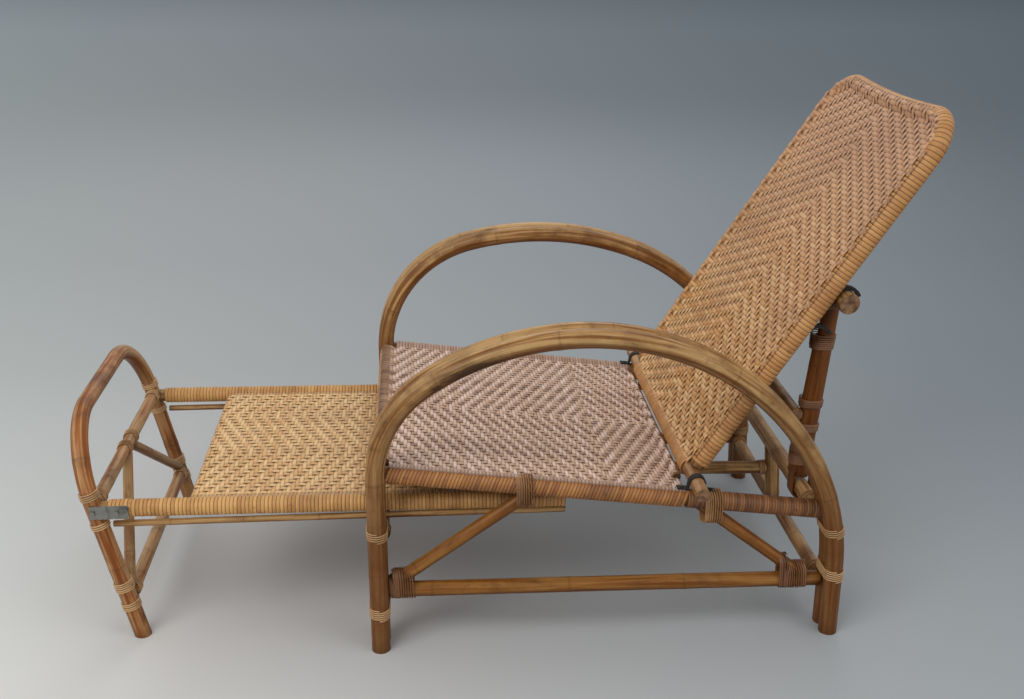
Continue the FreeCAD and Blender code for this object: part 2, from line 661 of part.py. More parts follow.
def prop_lashings(place, length):
    """Cane round each prop post and its folded tail, above and below the crossbar, and under the rod."""
    made = []
    for side, sign in SIDES.items():
        for number, (at, turns) in enumerate((("prop_bar_at + 22", 2), ("prop_bar_at - 22", 2))):
            centres = [place.multVec(Vector(-value(off), sign * value("prop_y"), value(at))) for off in ("0", "prop_tail")]
            axis = place.Rotation.multVec(Vector(0, 0, 1))
            made.append(winding(f"prop_{side}_lashing_{number}", centres, axis, "prop_dia / 2", turns))
    keep("prop_lashings", group("prop_lashings", made), len(made))


def check_and_write():
    """Stops on any failed object or faulty shape, then writes one file for each sub-part."""
    doc.recompute()
    for obj in doc.Objects:
        faults = {"Invalid", "Error"} & set(obj.State)
        if faults:
            raise RuntimeError(f"{obj.Label}: {sorted(faults)}")
    os.makedirs("parts", exist_ok=True)
    for name, (obj, solids) in nodes.items():
        shape = obj.Shape
        if shape.isNull() or not shape.isValid() or len(shape.Solids) != solids:
            raise RuntimeError(f"{name}: valid {shape.isValid()}, {len(shape.Solids)} solids, expected {solids}")
    for name, (obj, solids) in nodes.items():
        obj.Shape.exportStep(os.path.join("parts", name + ".step"))
    whole = FreeCAD.BoundBox()
    for obj, solids in nodes.values():
        whole.add(obj.Shape.BoundBox)
    print(f"{len(nodes)} nodes, X {whole.XMin:.1f}..{whole.XMax:.1f}, Y {whole.YMin:.1f}..{whole.YMax:.1f}, "
          f"Z {whole.ZMin:.2f}..{whole.ZMax:.1f}")


def build():
    floor = floor_block()
    arch_poles = group("arch_poles", arches(floor))
    cores = seat(arch_poles)
    side_frames(arch_poles)
    cross_frame(arch_poles, cores)
    saddles()
    footrest(floor)
    bracket()
    backrest()
    place, length = prop()
    leg_lashings()
    prop_lashings(place, length)
    check_and_write()


build()
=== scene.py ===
"""Steamer deck chair: bent cane poles, woven seat, back and footrest, and black ironwork."""
import bisect
import math
import random

import bpy
from bpy.props import FloatProperty, FloatVectorProperty, IntProperty, PointerProperty
from mathutils import Matrix, Quaternion, Vector, noise


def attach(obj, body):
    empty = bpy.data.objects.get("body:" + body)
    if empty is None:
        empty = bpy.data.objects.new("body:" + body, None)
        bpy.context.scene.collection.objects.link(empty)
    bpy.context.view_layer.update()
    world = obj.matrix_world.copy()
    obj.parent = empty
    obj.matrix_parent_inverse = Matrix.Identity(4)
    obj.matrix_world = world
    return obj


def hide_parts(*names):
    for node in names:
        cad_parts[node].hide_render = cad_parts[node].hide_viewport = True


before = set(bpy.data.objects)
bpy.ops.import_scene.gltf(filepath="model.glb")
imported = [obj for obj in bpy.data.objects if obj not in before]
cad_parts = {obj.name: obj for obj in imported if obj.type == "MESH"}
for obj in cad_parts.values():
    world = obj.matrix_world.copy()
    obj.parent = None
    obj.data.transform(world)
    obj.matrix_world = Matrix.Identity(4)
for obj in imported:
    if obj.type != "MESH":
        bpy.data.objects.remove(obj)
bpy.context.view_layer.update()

bl_info = {
    "name": "Steamer Deck Chair",
    "version": (1, 0, 0),
    "blender": (4, 5, 0),
    "location": "View3D > Sidebar > Deck Chair",
    "description": "Builds a cane steamer deck chair round its packed frame",
    "category": "Object",
}

MM = 0.001
SIDES = {"left": -1, "right": 1}
FRONT_LEG_X = -209.5
AHEAD, ACROSS, LIFT = Vector((1, 0, 0)), Vector((0, 1, 0)), Vector((0, 0, 1))

# Places of the frame in millimetres, counted along X from the front legs; pairs are (x, z)
ARCH_DIA = 31
ARCH_Y = {"outer": 307, "inner": 275.8}
ARCH_X = {"left": 3.9, "right": 9.8}
ARCH_STEPS = {
    "left": (("run", 314.4), ("bend", 191.6, 56.8), ("bend", 442.4, 58.8), ("bend", 428.8, 63.65),
             ("run", 122.5)),
    "right": (("run", 318.5), ("bend", 225.6, 75.8), ("bend", 546.7, 35.6), ("bend", 390.3, 66.6),
              ("run", 166.6)),
}
ARCH_STAIN = (162, -305, 504)
RAIL_Y = 283
RAIL_CORE = 26
RAIL_WRAP = 32
RAIL_ENDS = (9, 752)
STRETCHER_ENDS = (10, 753)
STRETCHER_DIA = 26
FRONT_BRACE = ((18, 106), (254, 273))
REAR_BRACE = ((533, 244.8), (719, 100.7))
BRACE_DIA = 22
SEAT_FRONT_X = 14
SEAT_REAR_X = 508
SEAT_REAR_LIFT = 8.5
SEAT_WRAP_X = {"left": 23.5, "right": 29.4}
SEAT_WRAP_END = 512
SEAT_CORNER_Y = 257
SEAT_EYE = (388, -20)
SEAT_WEAVE_LIFT = 10.2
THIN_ROLL = 16
ROLL_HALF = 226
CROSS_HALF = 263
PIVOT_X = 529
PIVOT_Z = 279.4
PIVOT_DIA = 24
PIVOT_HALF = 328
CROSSBAR = (736, 222)
CROSSBAR_DIA = 28
REAR_STRETCHER = (756, 90)
REAR_STRETCHER_DIA = 24
REAR_STRUT = ((743.5, 212), (753.5, 100))
FRONT_STRETCHER = (9, 195)
FRONT_STRETCHER_DIA = 27
RUNNER_ENDS = (16, 735)
RUNNER_DIA = 24
FOOT_RAIL_Y = 235
FOOT_RAIL_DIA = 24
FOOT_RAIL_WRAP = 30
FOOT_FRONT_X = -435
FOOT_WEAVE_X = -298
FOOT_WEAVE_END = 307
FOOT_WEAVE_HALF = 224
FOOT_REAR_X = 317
FOOT_REAR_ROLL = 18
SKID_Z = 214.5
SKID_DIA = 11
GLIDE = (283, 219)
GLIDE_HALF = 222
GLIDE_DIA = 25
GLIDE_SHOE_DIA = 23.5
LOOP_X = -401.8
LOOP_LEAN = 12.4
LOOP_Y = 235.2
LOOP_CORNER = 130
LOOP_DIA = 28
LOOP_RAIL_DIA = 22
# Where the loop's upper and lower rails are: height, and how far behind the loop's plane
LOOP_RAILS = ((250, 4), (78, 5))
LOOP_STRUT_DIA = 18
BACK_Y = 243
BACK_TILT = 57.2
BACK_RUN = 624
BACK_CORNER = 66
BACK_DIP = math.radians(4)
BACK_FRAME_DIA = 25.5
BACK_FRAME_START = 13
BACK_WRAP = 32
BACK_WRAP_START = 22
BACK_WEAVE_START = 24
HOOK_AT = 376
HOOK_OFF = 36
PROP_Y = 195
PROP_DIA = 28
PROP_AHEAD = 5
PROP_ROD_DIA = 35
PROP_ROD_HALF = 257
# Where the prop's bar is: up along the posts, and ahead of them
PROP_BAR = (138.5, 35)
PROP_BAR_DIA = 24
PROP_BAR_HALF = 207
STRAP_LIE = 18.4
WEAVE_RISE = 0.8
BACK_WEAVE_RISE = 0.95
OVERHANG = 8

# Where the ties are. Legs, loop and prop: height or place up, turns. Stretchers and rails: place along X,
# height of the brace there, turns. Poles across the chair: the pole, how far out, radius, turns, seed
FRONT_LEG_TIES = ((74.5, 5), (219, 4))
REAR_LEG_TIES = ((115, 5), (197, 4))
LOOP_TIES = ((98, 5), (61, 4), (268, 4), (214, 3))
PROP_TIES = ((116.5, 4), (160.5, 4), (60, 7), (78, 4), (272, 7), (340, 5))
STRETCHER_TIES = ((30, 113, 4), (45, 124, 9), (708, 110, 10), (687, 126, 4))
RAIL_TIES = ((244, 267, 8), (556, 226, 8))
CROSS_TIES = ((FRONT_STRETCHER, 252, 14, 4, 31), (CROSSBAR, 248, 14.4, 3, 33),
              (REAR_STRETCHER, 252, 12.4, 3, 35))
CLOSE_PITCH = 3.7
WIDE_PITCH = 4.3

# What a plain pole, and one under a binding, leave out
PLAIN = {"joints": False}
COVERED = {"joints": False, "sides": 12}


def rail_z(x):
    return 316.9 - 0.1248 * x


def stretcher_z(x):
    return 100.3 - 0.01247 * x


def runner_z(x):
    return 179.2 - 0.0253 * x


def foot_z(x):
    return 238.66 - 0.00997 * x


def loop_x(z):
    return LOOP_X - z * math.tan(math.radians(LOOP_LEAN))


def at(x, y, z):
    """A place in metres in the shared frame, from millimetres counted along X from the front legs."""
    return Vector((FRONT_LEG_X + x, y, z)) * MM


def back_at(s, n, y):
    """A place on the back: s up along it from the pivot, n behind it, in millimetres."""
    tilt = math.radians(BACK_TILT)
    x = PIVOT_X + s * math.cos(tilt) + n * math.sin(tilt)
    return at(x, y, PIVOT_Z + s * math.sin(tilt) - n * math.cos(tilt))


class Route:
    """A line through space that can be read at any length along it."""

    def __init__(self, points):
        self.points = points
        self.marks = [0.0]
        for a, b in zip(points, points[1:]):
            self.marks.append(self.marks[-1] + (b - a).length)
        self.length = self.marks[-1]

    def at(self, s):
        s = min(max(s, 0.0), self.length)
        i = min(max(bisect.bisect_right(self.marks, s) - 1, 0), len(self.points) - 2)
        span = self.marks[i + 1] - self.marks[i]
        return self.points[i].lerp(self.points[i + 1], (s - self.marks[i]) / span)

    def heading(self, s):
        step = 0.0015
        return (self.at(s + step) - self.at(s - step)).normalized()


def straight(start, end):
    return Route([start, end])


def bent(start, across, steps, turn=None):
    """The line of a pole that rises from its start and follows runs and bends in one plane, in millimetres.

    A bend is (radius, turn), clockwise when its turn is positive. turn, where given, leans the whole plane.
    """
    here = Vector((0, 0, 0))
    heading = math.pi / 2
    points = [here.copy()]
    for step in steps:
        if step[0] == "run":
            count = max(2, int(step[1] / 6))
            ahead = across * math.cos(heading) + LIFT * math.sin(heading)
            points += [here + ahead * step[1] * (k + 1) / count for k in range(count)]
        else:
            radius, swing = step[1], math.radians(step[2])
            side = 1 if swing > 0 else -1
            centre = here + (across * math.sin(heading) - LIFT * math.cos(heading)) * radius * side
            count = max(6, int(abs(swing) * radius / 4))
            first = heading + side * math.pi / 2
            for k in range(count):
                angle = first - swing * (k + 1) / count
                points.append(centre + (across * math.cos(angle) + LIFT * math.sin(angle)) * radius)
            heading -= swing
        here = points[-1]
    turn = turn or Quaternion()
    return Route([start + (turn @ p) * MM for p in points])


class Skin:
    """Collects rings of points, the faces between them, their grain lengths and their tone."""

    def __init__(self):
        self.points = []
        self.faces = []
        self.grain = []
        self.tone = []
        self.ends = []

    def ring_band(self, rings, grain, tones, capped=True):
        """Adds rings of points joined one to the next.

        grain gives (along, around) in metres for each ring; tones has one tone for each ring or each point.
        """
        base = len(self.points)
        sides = len(rings[0])
        for ring, tone in zip(rings, tones):
            self.points += ring
            self.tone += tone if isinstance(tone, list) else [tone] * sides
        count = len(rings)
        for i in range(count - 1):
            a, b = base + i * sides, base + (i + 1) * sides
            for k in range(sides):
                j = (k + 1) % sides
                self.faces.append((a + k, a + j, b + j, b + k))
                u0, v0 = grain[i][0], grain[i][1] * k / sides
                u1, v1 = grain[i + 1][0], grain[i][1] * (k + 1) / sides
                self.grain.append(((u0, v0), (u0, v1), (u1, v1), (u1, v0)))
        if capped:
            for i, order in ((0, range(sides - 1, -1, -1)), (count - 1, range(sides))):
                self.ends.append(len(self.faces))
                self.faces.append(tuple(base + i * sides + k for k in order))
                self.grain.append(tuple((grain[i][0], grain[i][1] * k / sides) for k in order))

    def make(self, name, body, finish, nodes, slot, end_finish=None):
        """Turns what was collected into a piece that rides on a body and stands for CAD nodes."""
        mesh = bpy.data.meshes.new(name)
        mesh.from_pydata(self.points, [], self.faces)
        layer = mesh.uv_layers.new(name="Grain")
        layer.data.foreach_set("uv", [c for face in self.grain for uv in face for c in uv])
        tones = mesh.color_attributes.new("Tone", "FLOAT_COLOR", "POINT")
        tones.data.foreach_set("color", [c for tone in self.tone for c in (*tone, 1.0)])
        mesh.shade_smooth()
        mesh.set_sharp_from_angle(angle=math.radians(50))
        mesh.materials.append(finish)
        if end_finish:
            mesh.materials.append(end_finish)
            for index in self.ends:
                mesh.polygons[index].material_index = 1
        piece = bpy.data.objects.new(name, mesh)
        bpy.context.scene.collection.objects.link(piece)
        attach(piece, body)
        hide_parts(*nodes)


def steady_frames(route, marks, first_side=None):
    """Headings and side directions along a route, turned as little as possible from one mark to the next."""
    heading = route.heading(marks[0])
    side = first_side or heading.orthogonal()
    side = (side - heading * side.dot(heading)).normalized()
    frames = []
    for s in marks:
        after = route.heading(s)
        side = heading.rotation_difference(after) @ side
        side = (side - after * side.dot(after)).normalized()
        heading = after
        frames.append((route.at(s), side, heading.cross(side)))
    return frames


def on_floor(ring, heading):
    """The ring slid along its pole until every point is at floor height."""
    return [p - heading * (p.z / heading.z) for p in ring]


def cane_pole(skin, route, dia, seed, joints=True, sides=20, taper=0.0, feet=(False, False)):
    """A natural pole: nearly straight, slightly uneven, with swollen joints at uneven distances.

    feet tells which of its two ends stand on the floor and are sawn level with it.
    """
    rng = random.Random(seed)
    radius = dia / 2 * MM
    spots = []
    if joints:
        s = rng.uniform(0.05, 0.2)
        while s < route.length - 0.02:
            spots.append(s)
            s += rng.uniform(0.16, 0.34)
    # Rings stand closer at the ends and at the joints, where the outline changes
    marks = {0.0, 0.0006, 0.0022, route.length - 0.0022, route.length - 0.0006, route.length}
    count = max(2, int(route.length / 0.012))
    marks |= {route.length * k / count for k in range(1, count)}
    for spot in spots:
        marks |= {spot + off * MM for off in (-14, -8, -5, -3, -1.6, -0.7, 0, 0.7, 1.6, 3, 5, 8, 14)}
    marks = sorted(m for m in marks if 0 <= m <= route.length)
    if feet[0]:
        marks = marks[:1] + [m for m in marks if m > 0.006]
    if feet[1]:
        marks = [m for m in marks if m < route.length - 0.006] + marks[-1:]
    drift = rng.uniform(0, 100)
    pole_tone = rng.random()
    rings, grain, tones = [], [], []
    for s, (centre, side, other) in zip(marks, steady_frames(route, marks)):
        swell, mark = 0.0, 0.0
        for spot in spots:
            off = (s - spot) / MM
            if abs(off) < 20:  # a joint is a swelling with a groove in its middle
                swell += 0.03 * math.exp(-(off / 6.5) ** 2) - 0.02 * math.exp(-((off - 0.4) / 0.9) ** 2)
                mark = max(mark, math.exp(-(off / 2.2) ** 2))
        end = min(s, route.length - s) / MM
        trim = 1 - 0.07 * max(0.0, 1 - end / 2.2)
        if any(feet):
            trim = 1.0
        size = radius * trim * (1 + swell + 0.012 * noise.noise(Vector((s * 14, drift, 0))))
        size *= 1 - taper * s / route.length
        ring = []
        for k in range(sides):
            angle = 2 * math.pi * k / sides
            uneven = 1 + 0.012 * noise.noise(Vector((s * 9, drift + math.cos(angle), math.sin(angle))))
            ring.append(centre + (side * math.cos(angle) + other * math.sin(angle)) * size * uneven)
        if (feet[0] and s == marks[0]) or (feet[1] and s == marks[-1]):
            ring = on_floor(ring, side.cross(other))
        rings.append(ring)
        grain.append((s + drift, 2 * math.pi * radius))
        tones.append((mark, pole_tone, math.exp(-end / 14)))
    skin.ring_band(rings, grain, tones)


def bound_pole(skin, route, dia, pitch, seed, slant=0.0):
    """A pole covered from end to end with strip: one low ridge for each turn of the strip."""
    depth, sides = 0.9, 16  # how deep the grooves are, and the points round the pole
    rng = random.Random(seed)
    radius = dia / 2 * MM
    turns = max(2, round(route.length / (pitch * MM)))
    step = route.length / turns
    profile = ((0.0, 0.0), (0.22, 0.85), (0.5, 1.0), (0.78, 0.85))
    marks, ridge, turn_tone = [], [], []
    for turn in range(turns):
        tone = rng.random()
        lift = 1 - 0.22 * rng.random()
        for where, rise in profile:
            marks.append((turn + where) * step)
            ridge.append(rise * lift)
            # The red tone is painted shade: full in the hollow between turns, none on a turn's crest.
            turn_tone.append((1 - rise, tone))
    marks.append(route.length)
    ridge.append(0.0)
    turn_tone.append((1.0, 0.5))
    rings, grain, tones = [], [], []
    for s, rise, tone, (centre, side, other) in zip(marks, ridge, turn_tone, steady_frames(route, marks)):
        size = radius - depth * MM * (1 - rise)
        heading = side.cross(other)
        ring = []
        for k in range(sides):
            angle = 2 * math.pi * k / sides
            lean = heading * slant * step * math.cos(angle)
            ring.append(centre + (side * math.cos(angle) + other * math.sin(angle)) * size + lean)
        rings.append(ring)
        grain.append((s, 2 * math.pi * radius))
        tones.append((tone[0], tone[1], 0.0))
    skin.ring_band(rings, grain, tones)


def strip(skin, route, width, thick, tone, flat_side):
    """A flat strip of cane along a route: a lens-shaped section of eight points."""
    count = max(3, int(route.length / (2 * MM)))
    marks = [route.length * k / count for k in range(count + 1)]
    section = ((-1, 0), (-0.8, 0.75), (0, 1), (0.8, 0.75), (1, 0), (0.8, -0.7), (0, -0.8), (-0.8, -0.7))
    rings, grain, tones = [], [], []
    for s, (centre, side, other) in zip(marks, steady_frames(route, marks, flat_side)):
        rings.append([centre + (other * a * width / 2 + side * b * thick / 2) * MM for a, b in section])
        grain.append((s, 2 * width * MM))
        tones.append((0.0, tone, 0.0))
    skin.ring_band(rings, grain, tones)


def lashing(skin, centres, axis, radius, turns, seed, pitch, width, thick=1.7, drift=0.0):
    """Cane strip wound round one pole or round two side by side, each turn a little uneven."""
    rng = random.Random(seed)
    axis = axis.normalized()
    gap = centres[1] - centres[0]
    gap -= axis * gap.dot(axis)
    spread = gap.length
    across = gap.normalized() if spread > 1e-5 else axis.orthogonal().normalized()
    side = axis.cross(across)
    lie = (radius + thick / 2) * MM
    tone = rng.random()
    per_turn = 28  # points in one turn
    shake = [rng.uniform(-0.5, 0.5) * MM for turn in range(turns + 2)]
    points, outward = [], None
    for k in range(turns * per_turn + 1):
        turn = k / per_turn
        angle = 2 * math.pi * turn
        climb = (turn - turns / 2) * pitch * MM + shake[int(turn)] * math.sin(math.pi * (turn % 1)) ** 2
        out = across * math.cos(angle) + side * math.sin(angle)
        centre = centres[0] + gap * (0.5 + 0.5 * max(-1.0, min(1.0, math.cos(angle) * 8)))
        points.append(centre + out * lie + axis * (climb + drift * MM * math.cos(angle)))
        outward = outward or out
    strip(skin, Route(points), width, thick, 0.25 + 0.5 * tone, outward)


def strands(skin, place, lines, stations, on_top, reach, width, thick, lift, seed):
    """One set of a weave's strands. Each passes over or under the strands that cross it at the stations.

    place(along, aside, rise) gives the spot in metres, and reach(line) how far a strand runs, in millimetres.
    """
    rng = random.Random(seed)
    for i, line in enumerate(lines):
        first, last = reach(line)
        tone = rng.random()
        drift = rng.uniform(0, 100)
        stops = [(s, lift if on_top(i, k) else -lift)
                 for k, s in enumerate(stations) if first + 1 < s < last - 1]
        stops = [spot for pair in zip(stops, halfway(stops)) for spot in pair] + stops[-1:]
        if len(stops) < 2:
            continue
        start, end = run_out(stops[0][0], first)[::-1], run_out(stops[-1][0], last)
        stops = [(first, -lift), *start, *stops, *end, (last, -lift)]
        rings, grain, tones = [], [], []
        for s, rise in stops:
            sway = noise.noise(Vector((s * 0.05, drift, 0)))
            aside = line + 0.09 * width * sway
            above = rise + 0.25 * lift * noise.noise(Vector((s * 0.11, drift, 7)))
            half = width / 2 * (1.05 if rise > 0 else 1.0)
            rings.append([place(s, aside - half, above), place(s, aside, above + thick / 2),
                          place(s, aside + half, above), place(s, aside, above - thick / 2)])
            grain.append((s * MM + drift, 2 * width * MM))
            # The red tone is painted shade: more as the strand dips under, more again on its sides, full on
            # its underside.
            dip = min(1.0, max(0.0, 0.55 - 0.55 * rise / lift))
            edge = (min(1.0, dip + 0.35), tone, 0.0)
            tones.append([edge, (dip, tone, 0.0), edge, (1.0, tone, 0.0)])
        skin.ring_band(rings, grain, tones, capped=False)


def halfway(stops):
    """Between neighbours at the same height a strand arches a little; elsewhere it crosses over."""
    return [((a[0] + b[0]) / 2, a[1] * 1.3 if a[1] * b[1] > 0 else 0.0) for a, b in zip(stops, stops[1:])]


def run_out(inner, outer):
    """Stops that carry a strand on over the pole at the panel's edge, where that is far."""
    count = int(abs(outer - inner) / 5) if abs(outer - inner) > 14 else 0
    return [(inner + (outer - inner) * (k + 1) / (count + 1), 0.0) for k in range(count)]


def over_pole(off, dia):
    """Height over a bound pole's middle line of what lies on it, off to one side of that line."""
    lie = dia / 2 + 0.6
    return math.sqrt(lie * lie - off * off) if abs(off) < lie * 0.9 else -lie


def turn_middles(start, end, pitch):
    """Middles of the turns that bound_pole makes between two places, so that strands line up with them."""
    turns = max(2, round((end - start) / pitch))
    return [start + (end - start) * (k + 0.5) / turns for k in range(turns)]


def even_lines(half, pitch):
    """Places spread evenly to both sides of the middle, none further out than half."""
    count = int(half / pitch)
    return [pitch * (k + 0.5) for k in range(-count, count)]


def tint(red, green, blue):
    """A colour as a paint chart gives it, from 0 to 255, as the shader wants it."""
    return tuple(c / 3294.6 if c <= 10 else ((c / 255 + 0.055) / 1.055) ** 2.4 for c in (red, green, blue))


class Value:
    """A node's output that takes part in plain sums: each operator adds one Math node."""

    def __init__(self, finish, socket):
        self.finish = finish
        self.socket = socket

    def worked(self, operation, first, second=0.0):
        return self.finish.node("Math", {"operation": operation}, {0: first, 1: second})["Value"]

    def __add__(self, other):
        return self.worked("ADD", self, other)

    def __sub__(self, other):
        return self.worked("SUBTRACT", self, other)

    def __rsub__(self, other):
        return self.worked("SUBTRACT", other, self)

    def __mul__(self, other):
        return self.worked("MULTIPLY", self, other)

    def __pow__(self, other):
        return self.worked("POWER", self, other)

    __radd__ = __add__
    __rmul__ = __mul__


class Outputs:
    """The outputs of one node, by name or number."""

    def __init__(self, finish, node):
        self.finish = finish
        self.made = node

    def __getitem__(self, key):
        return Value(self.finish, self.made.outputs[key])


class Finish:
    """A material being put together from nodes."""

    def __init__(self, name):
        self.material = bpy.data.materials.new(name)
        self.material.use_nodes = True
        self.tree = self.material.node_tree
        self.tree.nodes.clear()

    def node(self, kind, settings=None, sockets=None):
        """Adds a node: its settings, a ramp's stops among them, then the values or links of its sockets."""
        made = self.tree.nodes.new("ShaderNode" + kind)
        for name, setting in (settings or {}).items():
            if name == "stops":
                ramp = made.color_ramp.elements
                ramp[0].position, ramp[-1].position = setting[0][0], setting[-1][0]
                for where, colour in setting[1:-1]:
                    ramp.new(where)
                for element, (where, colour) in zip(ramp, setting):
                    element.color = (*colour, 1.0)
            else:
                setattr(made, name, setting)
        for key, given in (sockets or {}).items():
            if isinstance(given, Value):
                self.tree.links.new(given.socket, made.inputs[key])
            elif isinstance(given, tuple) and len(given) == 3 and made.inputs[key].type == "RGBA":
                made.inputs[key].default_value = (*given, 1.0)
            else:
                made.inputs[key].default_value = given
        return Outputs(self, made)

    def mixed(self, factor, first, second, how="MIX"):
        """Two colours mixed."""
        settings = {"data_type": "RGBA", "blend_type": how, "clamp_factor": True}
        return self.node("Mix", settings, {0: factor, 6: first, 7: second})[2]

    def between(self, value, low, high):
        """0 where the value is at low, 1 where it is at high."""
        return self.node("MapRange", {}, {"Value": value, "From Min": low, "From Max": high})["Result"]

    def layered(self, colour, *layers):
        """A colour with layers over it: (colour, value, the value it starts and is full at, share)."""
        for shade, value, low, high, share in layers:
            colour = self.mixed(self.between(value, low, high) * share, colour, shade)
        return colour

    def noise(self, where, scale, detail=2.0, rough=0.5, bend=0.0):
        sockets = {"Vector": where, "Scale": scale, "Detail": detail, "Roughness": rough, "Distortion": bend}
        return self.node("TexNoise", {}, sockets)["Fac"]

    def stretched(self, where, factors):
        return self.node("VectorMath", {"operation": "MULTIPLY"}, {0: where, 1: factors})["Vector"]

    def height(self, vector):
        """The upright part of a place or direction."""
        return self.node("SeparateXYZ", {}, {"Vector": vector})["Z"]

    def places(self):
        """The place on the piece, in metres, and its grain, metres along and around it."""
        here = self.node("TexCoord")["Object"]
        grain = self.node("UVMap", {"uv_map": "Grain"})["UV"]
        return here, grain

    def tones(self):
        colour = self.node("Attribute", {"attribute_name": "Tone"})["Color"]
        parts = self.node("SeparateColor", {}, {"Color": colour})
        return parts["Red"], parts["Green"], parts["Blue"]

    def done(self, colour, rough, height=None, depth=0.0003, fixed=None):
        """Joins colour, roughness and bump height to the shader, whose other values are the same all over."""
        sockets = {"Base Color": colour, "Roughness": rough}
        if height:
            bump = {"Height": height, "Distance": depth, "Strength": 1.0}
            sockets["Normal"] = self.node("Bump", {}, bump)["Normal"]
        shader = self.node("BsdfPrincipled", {}, {**sockets, **(fixed or {})})["BSDF"]
        self.node("OutputMaterial", {}, {"Surface": shader})
        return self.material


def pole_finish(name, pale, golden, brown, dark, fade, soil, grime=0.4, low=None, mark=None):
    """Bare cane: long fibres, clouds of darker brown, a painted shade on the underside, rings at the joints
    and dirty ends.

    low is the colour near the floor and mark the place of one dark stain.
    """
    make = Finish(name)
    here, grain = make.places()
    joint, own, end = make.tones()
    fibre = make.noise(make.stretched(grain, (14.0, 620.0, 1.0)), 1.0, 3.0, 0.6)
    streak = make.noise(make.stretched(grain, (5.0, 130.0, 1.0)), 1.0, 3.0, 0.55, 0.4)
    cloud = make.noise(here, 11.0, 4.0, 0.6, 0.5)
    stain = make.noise(make.stretched(grain, (24.0, 70.0, 1.0)), 1.0, 4.0, 0.65, 0.6)
    colour = make.layered(
        golden, (pale, streak + own * 0.16, 0.44, 0.68, 1.0), (brown, cloud - own * 0.1, 0.42, 0.66, 0.85),
        (dark, fibre, 0.5, 0.8, 0.5), (brown, streak + own * 0.1, 0.5, 0.36, 0.45),
        (soil, stain, 0.56, 0.74, grime))
    worn = make.between(make.noise(here, 5.0, 3.0, 0.5), 0.5, 0.75)
    colour = make.layered(colour, (fade, streak, 0.45, 0.7, worn * 0.42))
    colour = make.mixed(joint * 0.25, colour, soil)
    # Painted shade: undersides, which face away from the light above, darken toward the pole shade colour.
    over = make.height(make.node("TexCoord")["Normal"])
    under = make.between(over + (cloud - 0.5) * 1.2 + (streak - 0.5), 0.1, -0.6)
    colour = make.mixed(under * 0.78, colour, brown)
    if mark:
        off = make.node("VectorMath", {"operation": "DISTANCE"}, {0: here, 1: mark})["Value"]
        stained = make.between(off + (stain - 0.5) * 0.2, 0.08, 0.035) * make.between(over + streak, 1.1, 0.6)
        colour = make.mixed(stained * 0.9, colour, dark)
    if low:
        shade = make.between(make.height(here) + (cloud - 0.5) * 0.3, 0.4, 0.2)
        colour = make.mixed(shade * 0.78, colour, low)
    colour = make.mixed(end * 0.45, colour, dark)
    rough = 0.36 + fibre * 0.18 + make.between(stain, 0.5, 0.8) * 0.2
    height = fibre * 0.5 + streak * 0.5 - joint * 0.8
    gloss = {"Coat Weight": 0.08, "Coat Roughness": 0.14, "Specular IOR Level": 0.22}
    return make.done(colour, rough, height, 0.0004, gloss)


def strip_finish(name, pale, main, dark, groove_shade_and_grain, wind=True, patch=0.5):
    """Split cane wound round a pole: each turn has its own tone, and painted shade darkens the hollows
    between turns.

    wind is true where the fibres run round the covered pole, false where they run along the strip.
    """
    make = Finish(name)
    here, grain = make.places()
    dip, own = make.tones()[:2]
    run = (1900.0, 30.0, 1.0) if wind else (30.0, 1900.0, 1.0)
    fibre = make.noise(make.stretched(grain, run), 1.0, 2.0, 0.6)
    cloud = make.noise(here, 13.0, 3.0, 0.6, 0.3)
    speck = make.noise(here, 95.0, 2.0, 0.5)
    # Painted shade: where the red tone is high, in the hollows between turns, the colour goes most of the way
    # to the darkest colour; that colour also darkens fibres.
    colour = make.layered(
        pale, (main, own * 0.55 + (cloud - 0.5) * 0.9, 0.0, 0.6, 1.0), (dark, cloud, 0.5, 0.72, patch),
        (dark, speck, 0.62, 0.74, 0.55), (groove_shade_and_grain, fibre, 0.5, 0.78, 0.22), (groove_shade_and_grain, dip, 0.3, 1.0, 0.85))
    rough = 0.42 + fibre * 0.2 + dip * 0.2
    return make.done(colour, rough, fibre, 0.00012, {"Coat Weight": 0.06, "Coat Roughness": 0.35})


def strand_finish(name, pale, main, dark, crevice, top=None):
    """Woven strands with painted shade: darker where they dip under and along their sides, so they read pale
    where they lie on top; each strand a little different.

    top is a second colour that comes in toward the upper end of the back.
    """
    make = Finish(name)
    here, grain = make.places()
    dip, own = make.tones()[:2]
    fibre = make.noise(make.stretched(grain, (60.0, 1500.0, 1.0)), 1.0, 2.0, 0.6)
    speck = make.noise(make.stretched(grain, (190.0, 400.0, 1.0)), 1.0, 2.0, 0.5)
    cloud = make.noise(here, 7.0, 3.0, 0.6, 0.4)
    colour = make.mixed(make.between(own + (speck - 0.5) * 0.9, 0.15, 0.85), main, pale)
    if top:
        colour = make.mixed(make.between(make.height(here) + (cloud - 0.5) * 0.25, 0.4, 0.85), colour, top)
    colour = make.layered(colour, (dark, cloud, 0.45, 0.75, 0.35), (dark, speck, 0.62, 0.8, 0.4),
                          (crevice, fibre, 0.52, 0.8, 0.3))
    # Painted shade: the strand darkens toward the dark between-strand colour where it dips, on its sides and
    # underneath.
    colour = make.mixed(dip ** 1.4 * 0.8, colour, crevice)
    rough = 0.4 + fibre * 0.2 + dip * 0.2
    return make.done(colour, rough, fibre, 0.0001, {"Coat Weight": 0.08, "Coat Roughness": 0.35})


def pith_finish(name, pale, dark):
    """The sawn end of a pole: pale pith full of dark pores."""
    make = Finish(name)
    here = make.places()[0]
    pores = make.node("TexVoronoi", {}, {"Vector": here, "Scale": 900.0})["Distance"]
    cloud = make.noise(here, 120.0, 3.0, 0.6)
    colour = make.mixed(make.between(cloud, 0.35, 0.7), pale, dark)
    colour = make.mixed(1.0 - make.between(pores, 0.1, 0.35), colour, dark)
    return make.done(colour, 0.75 + cloud * 0.15, pores, 0.0003)


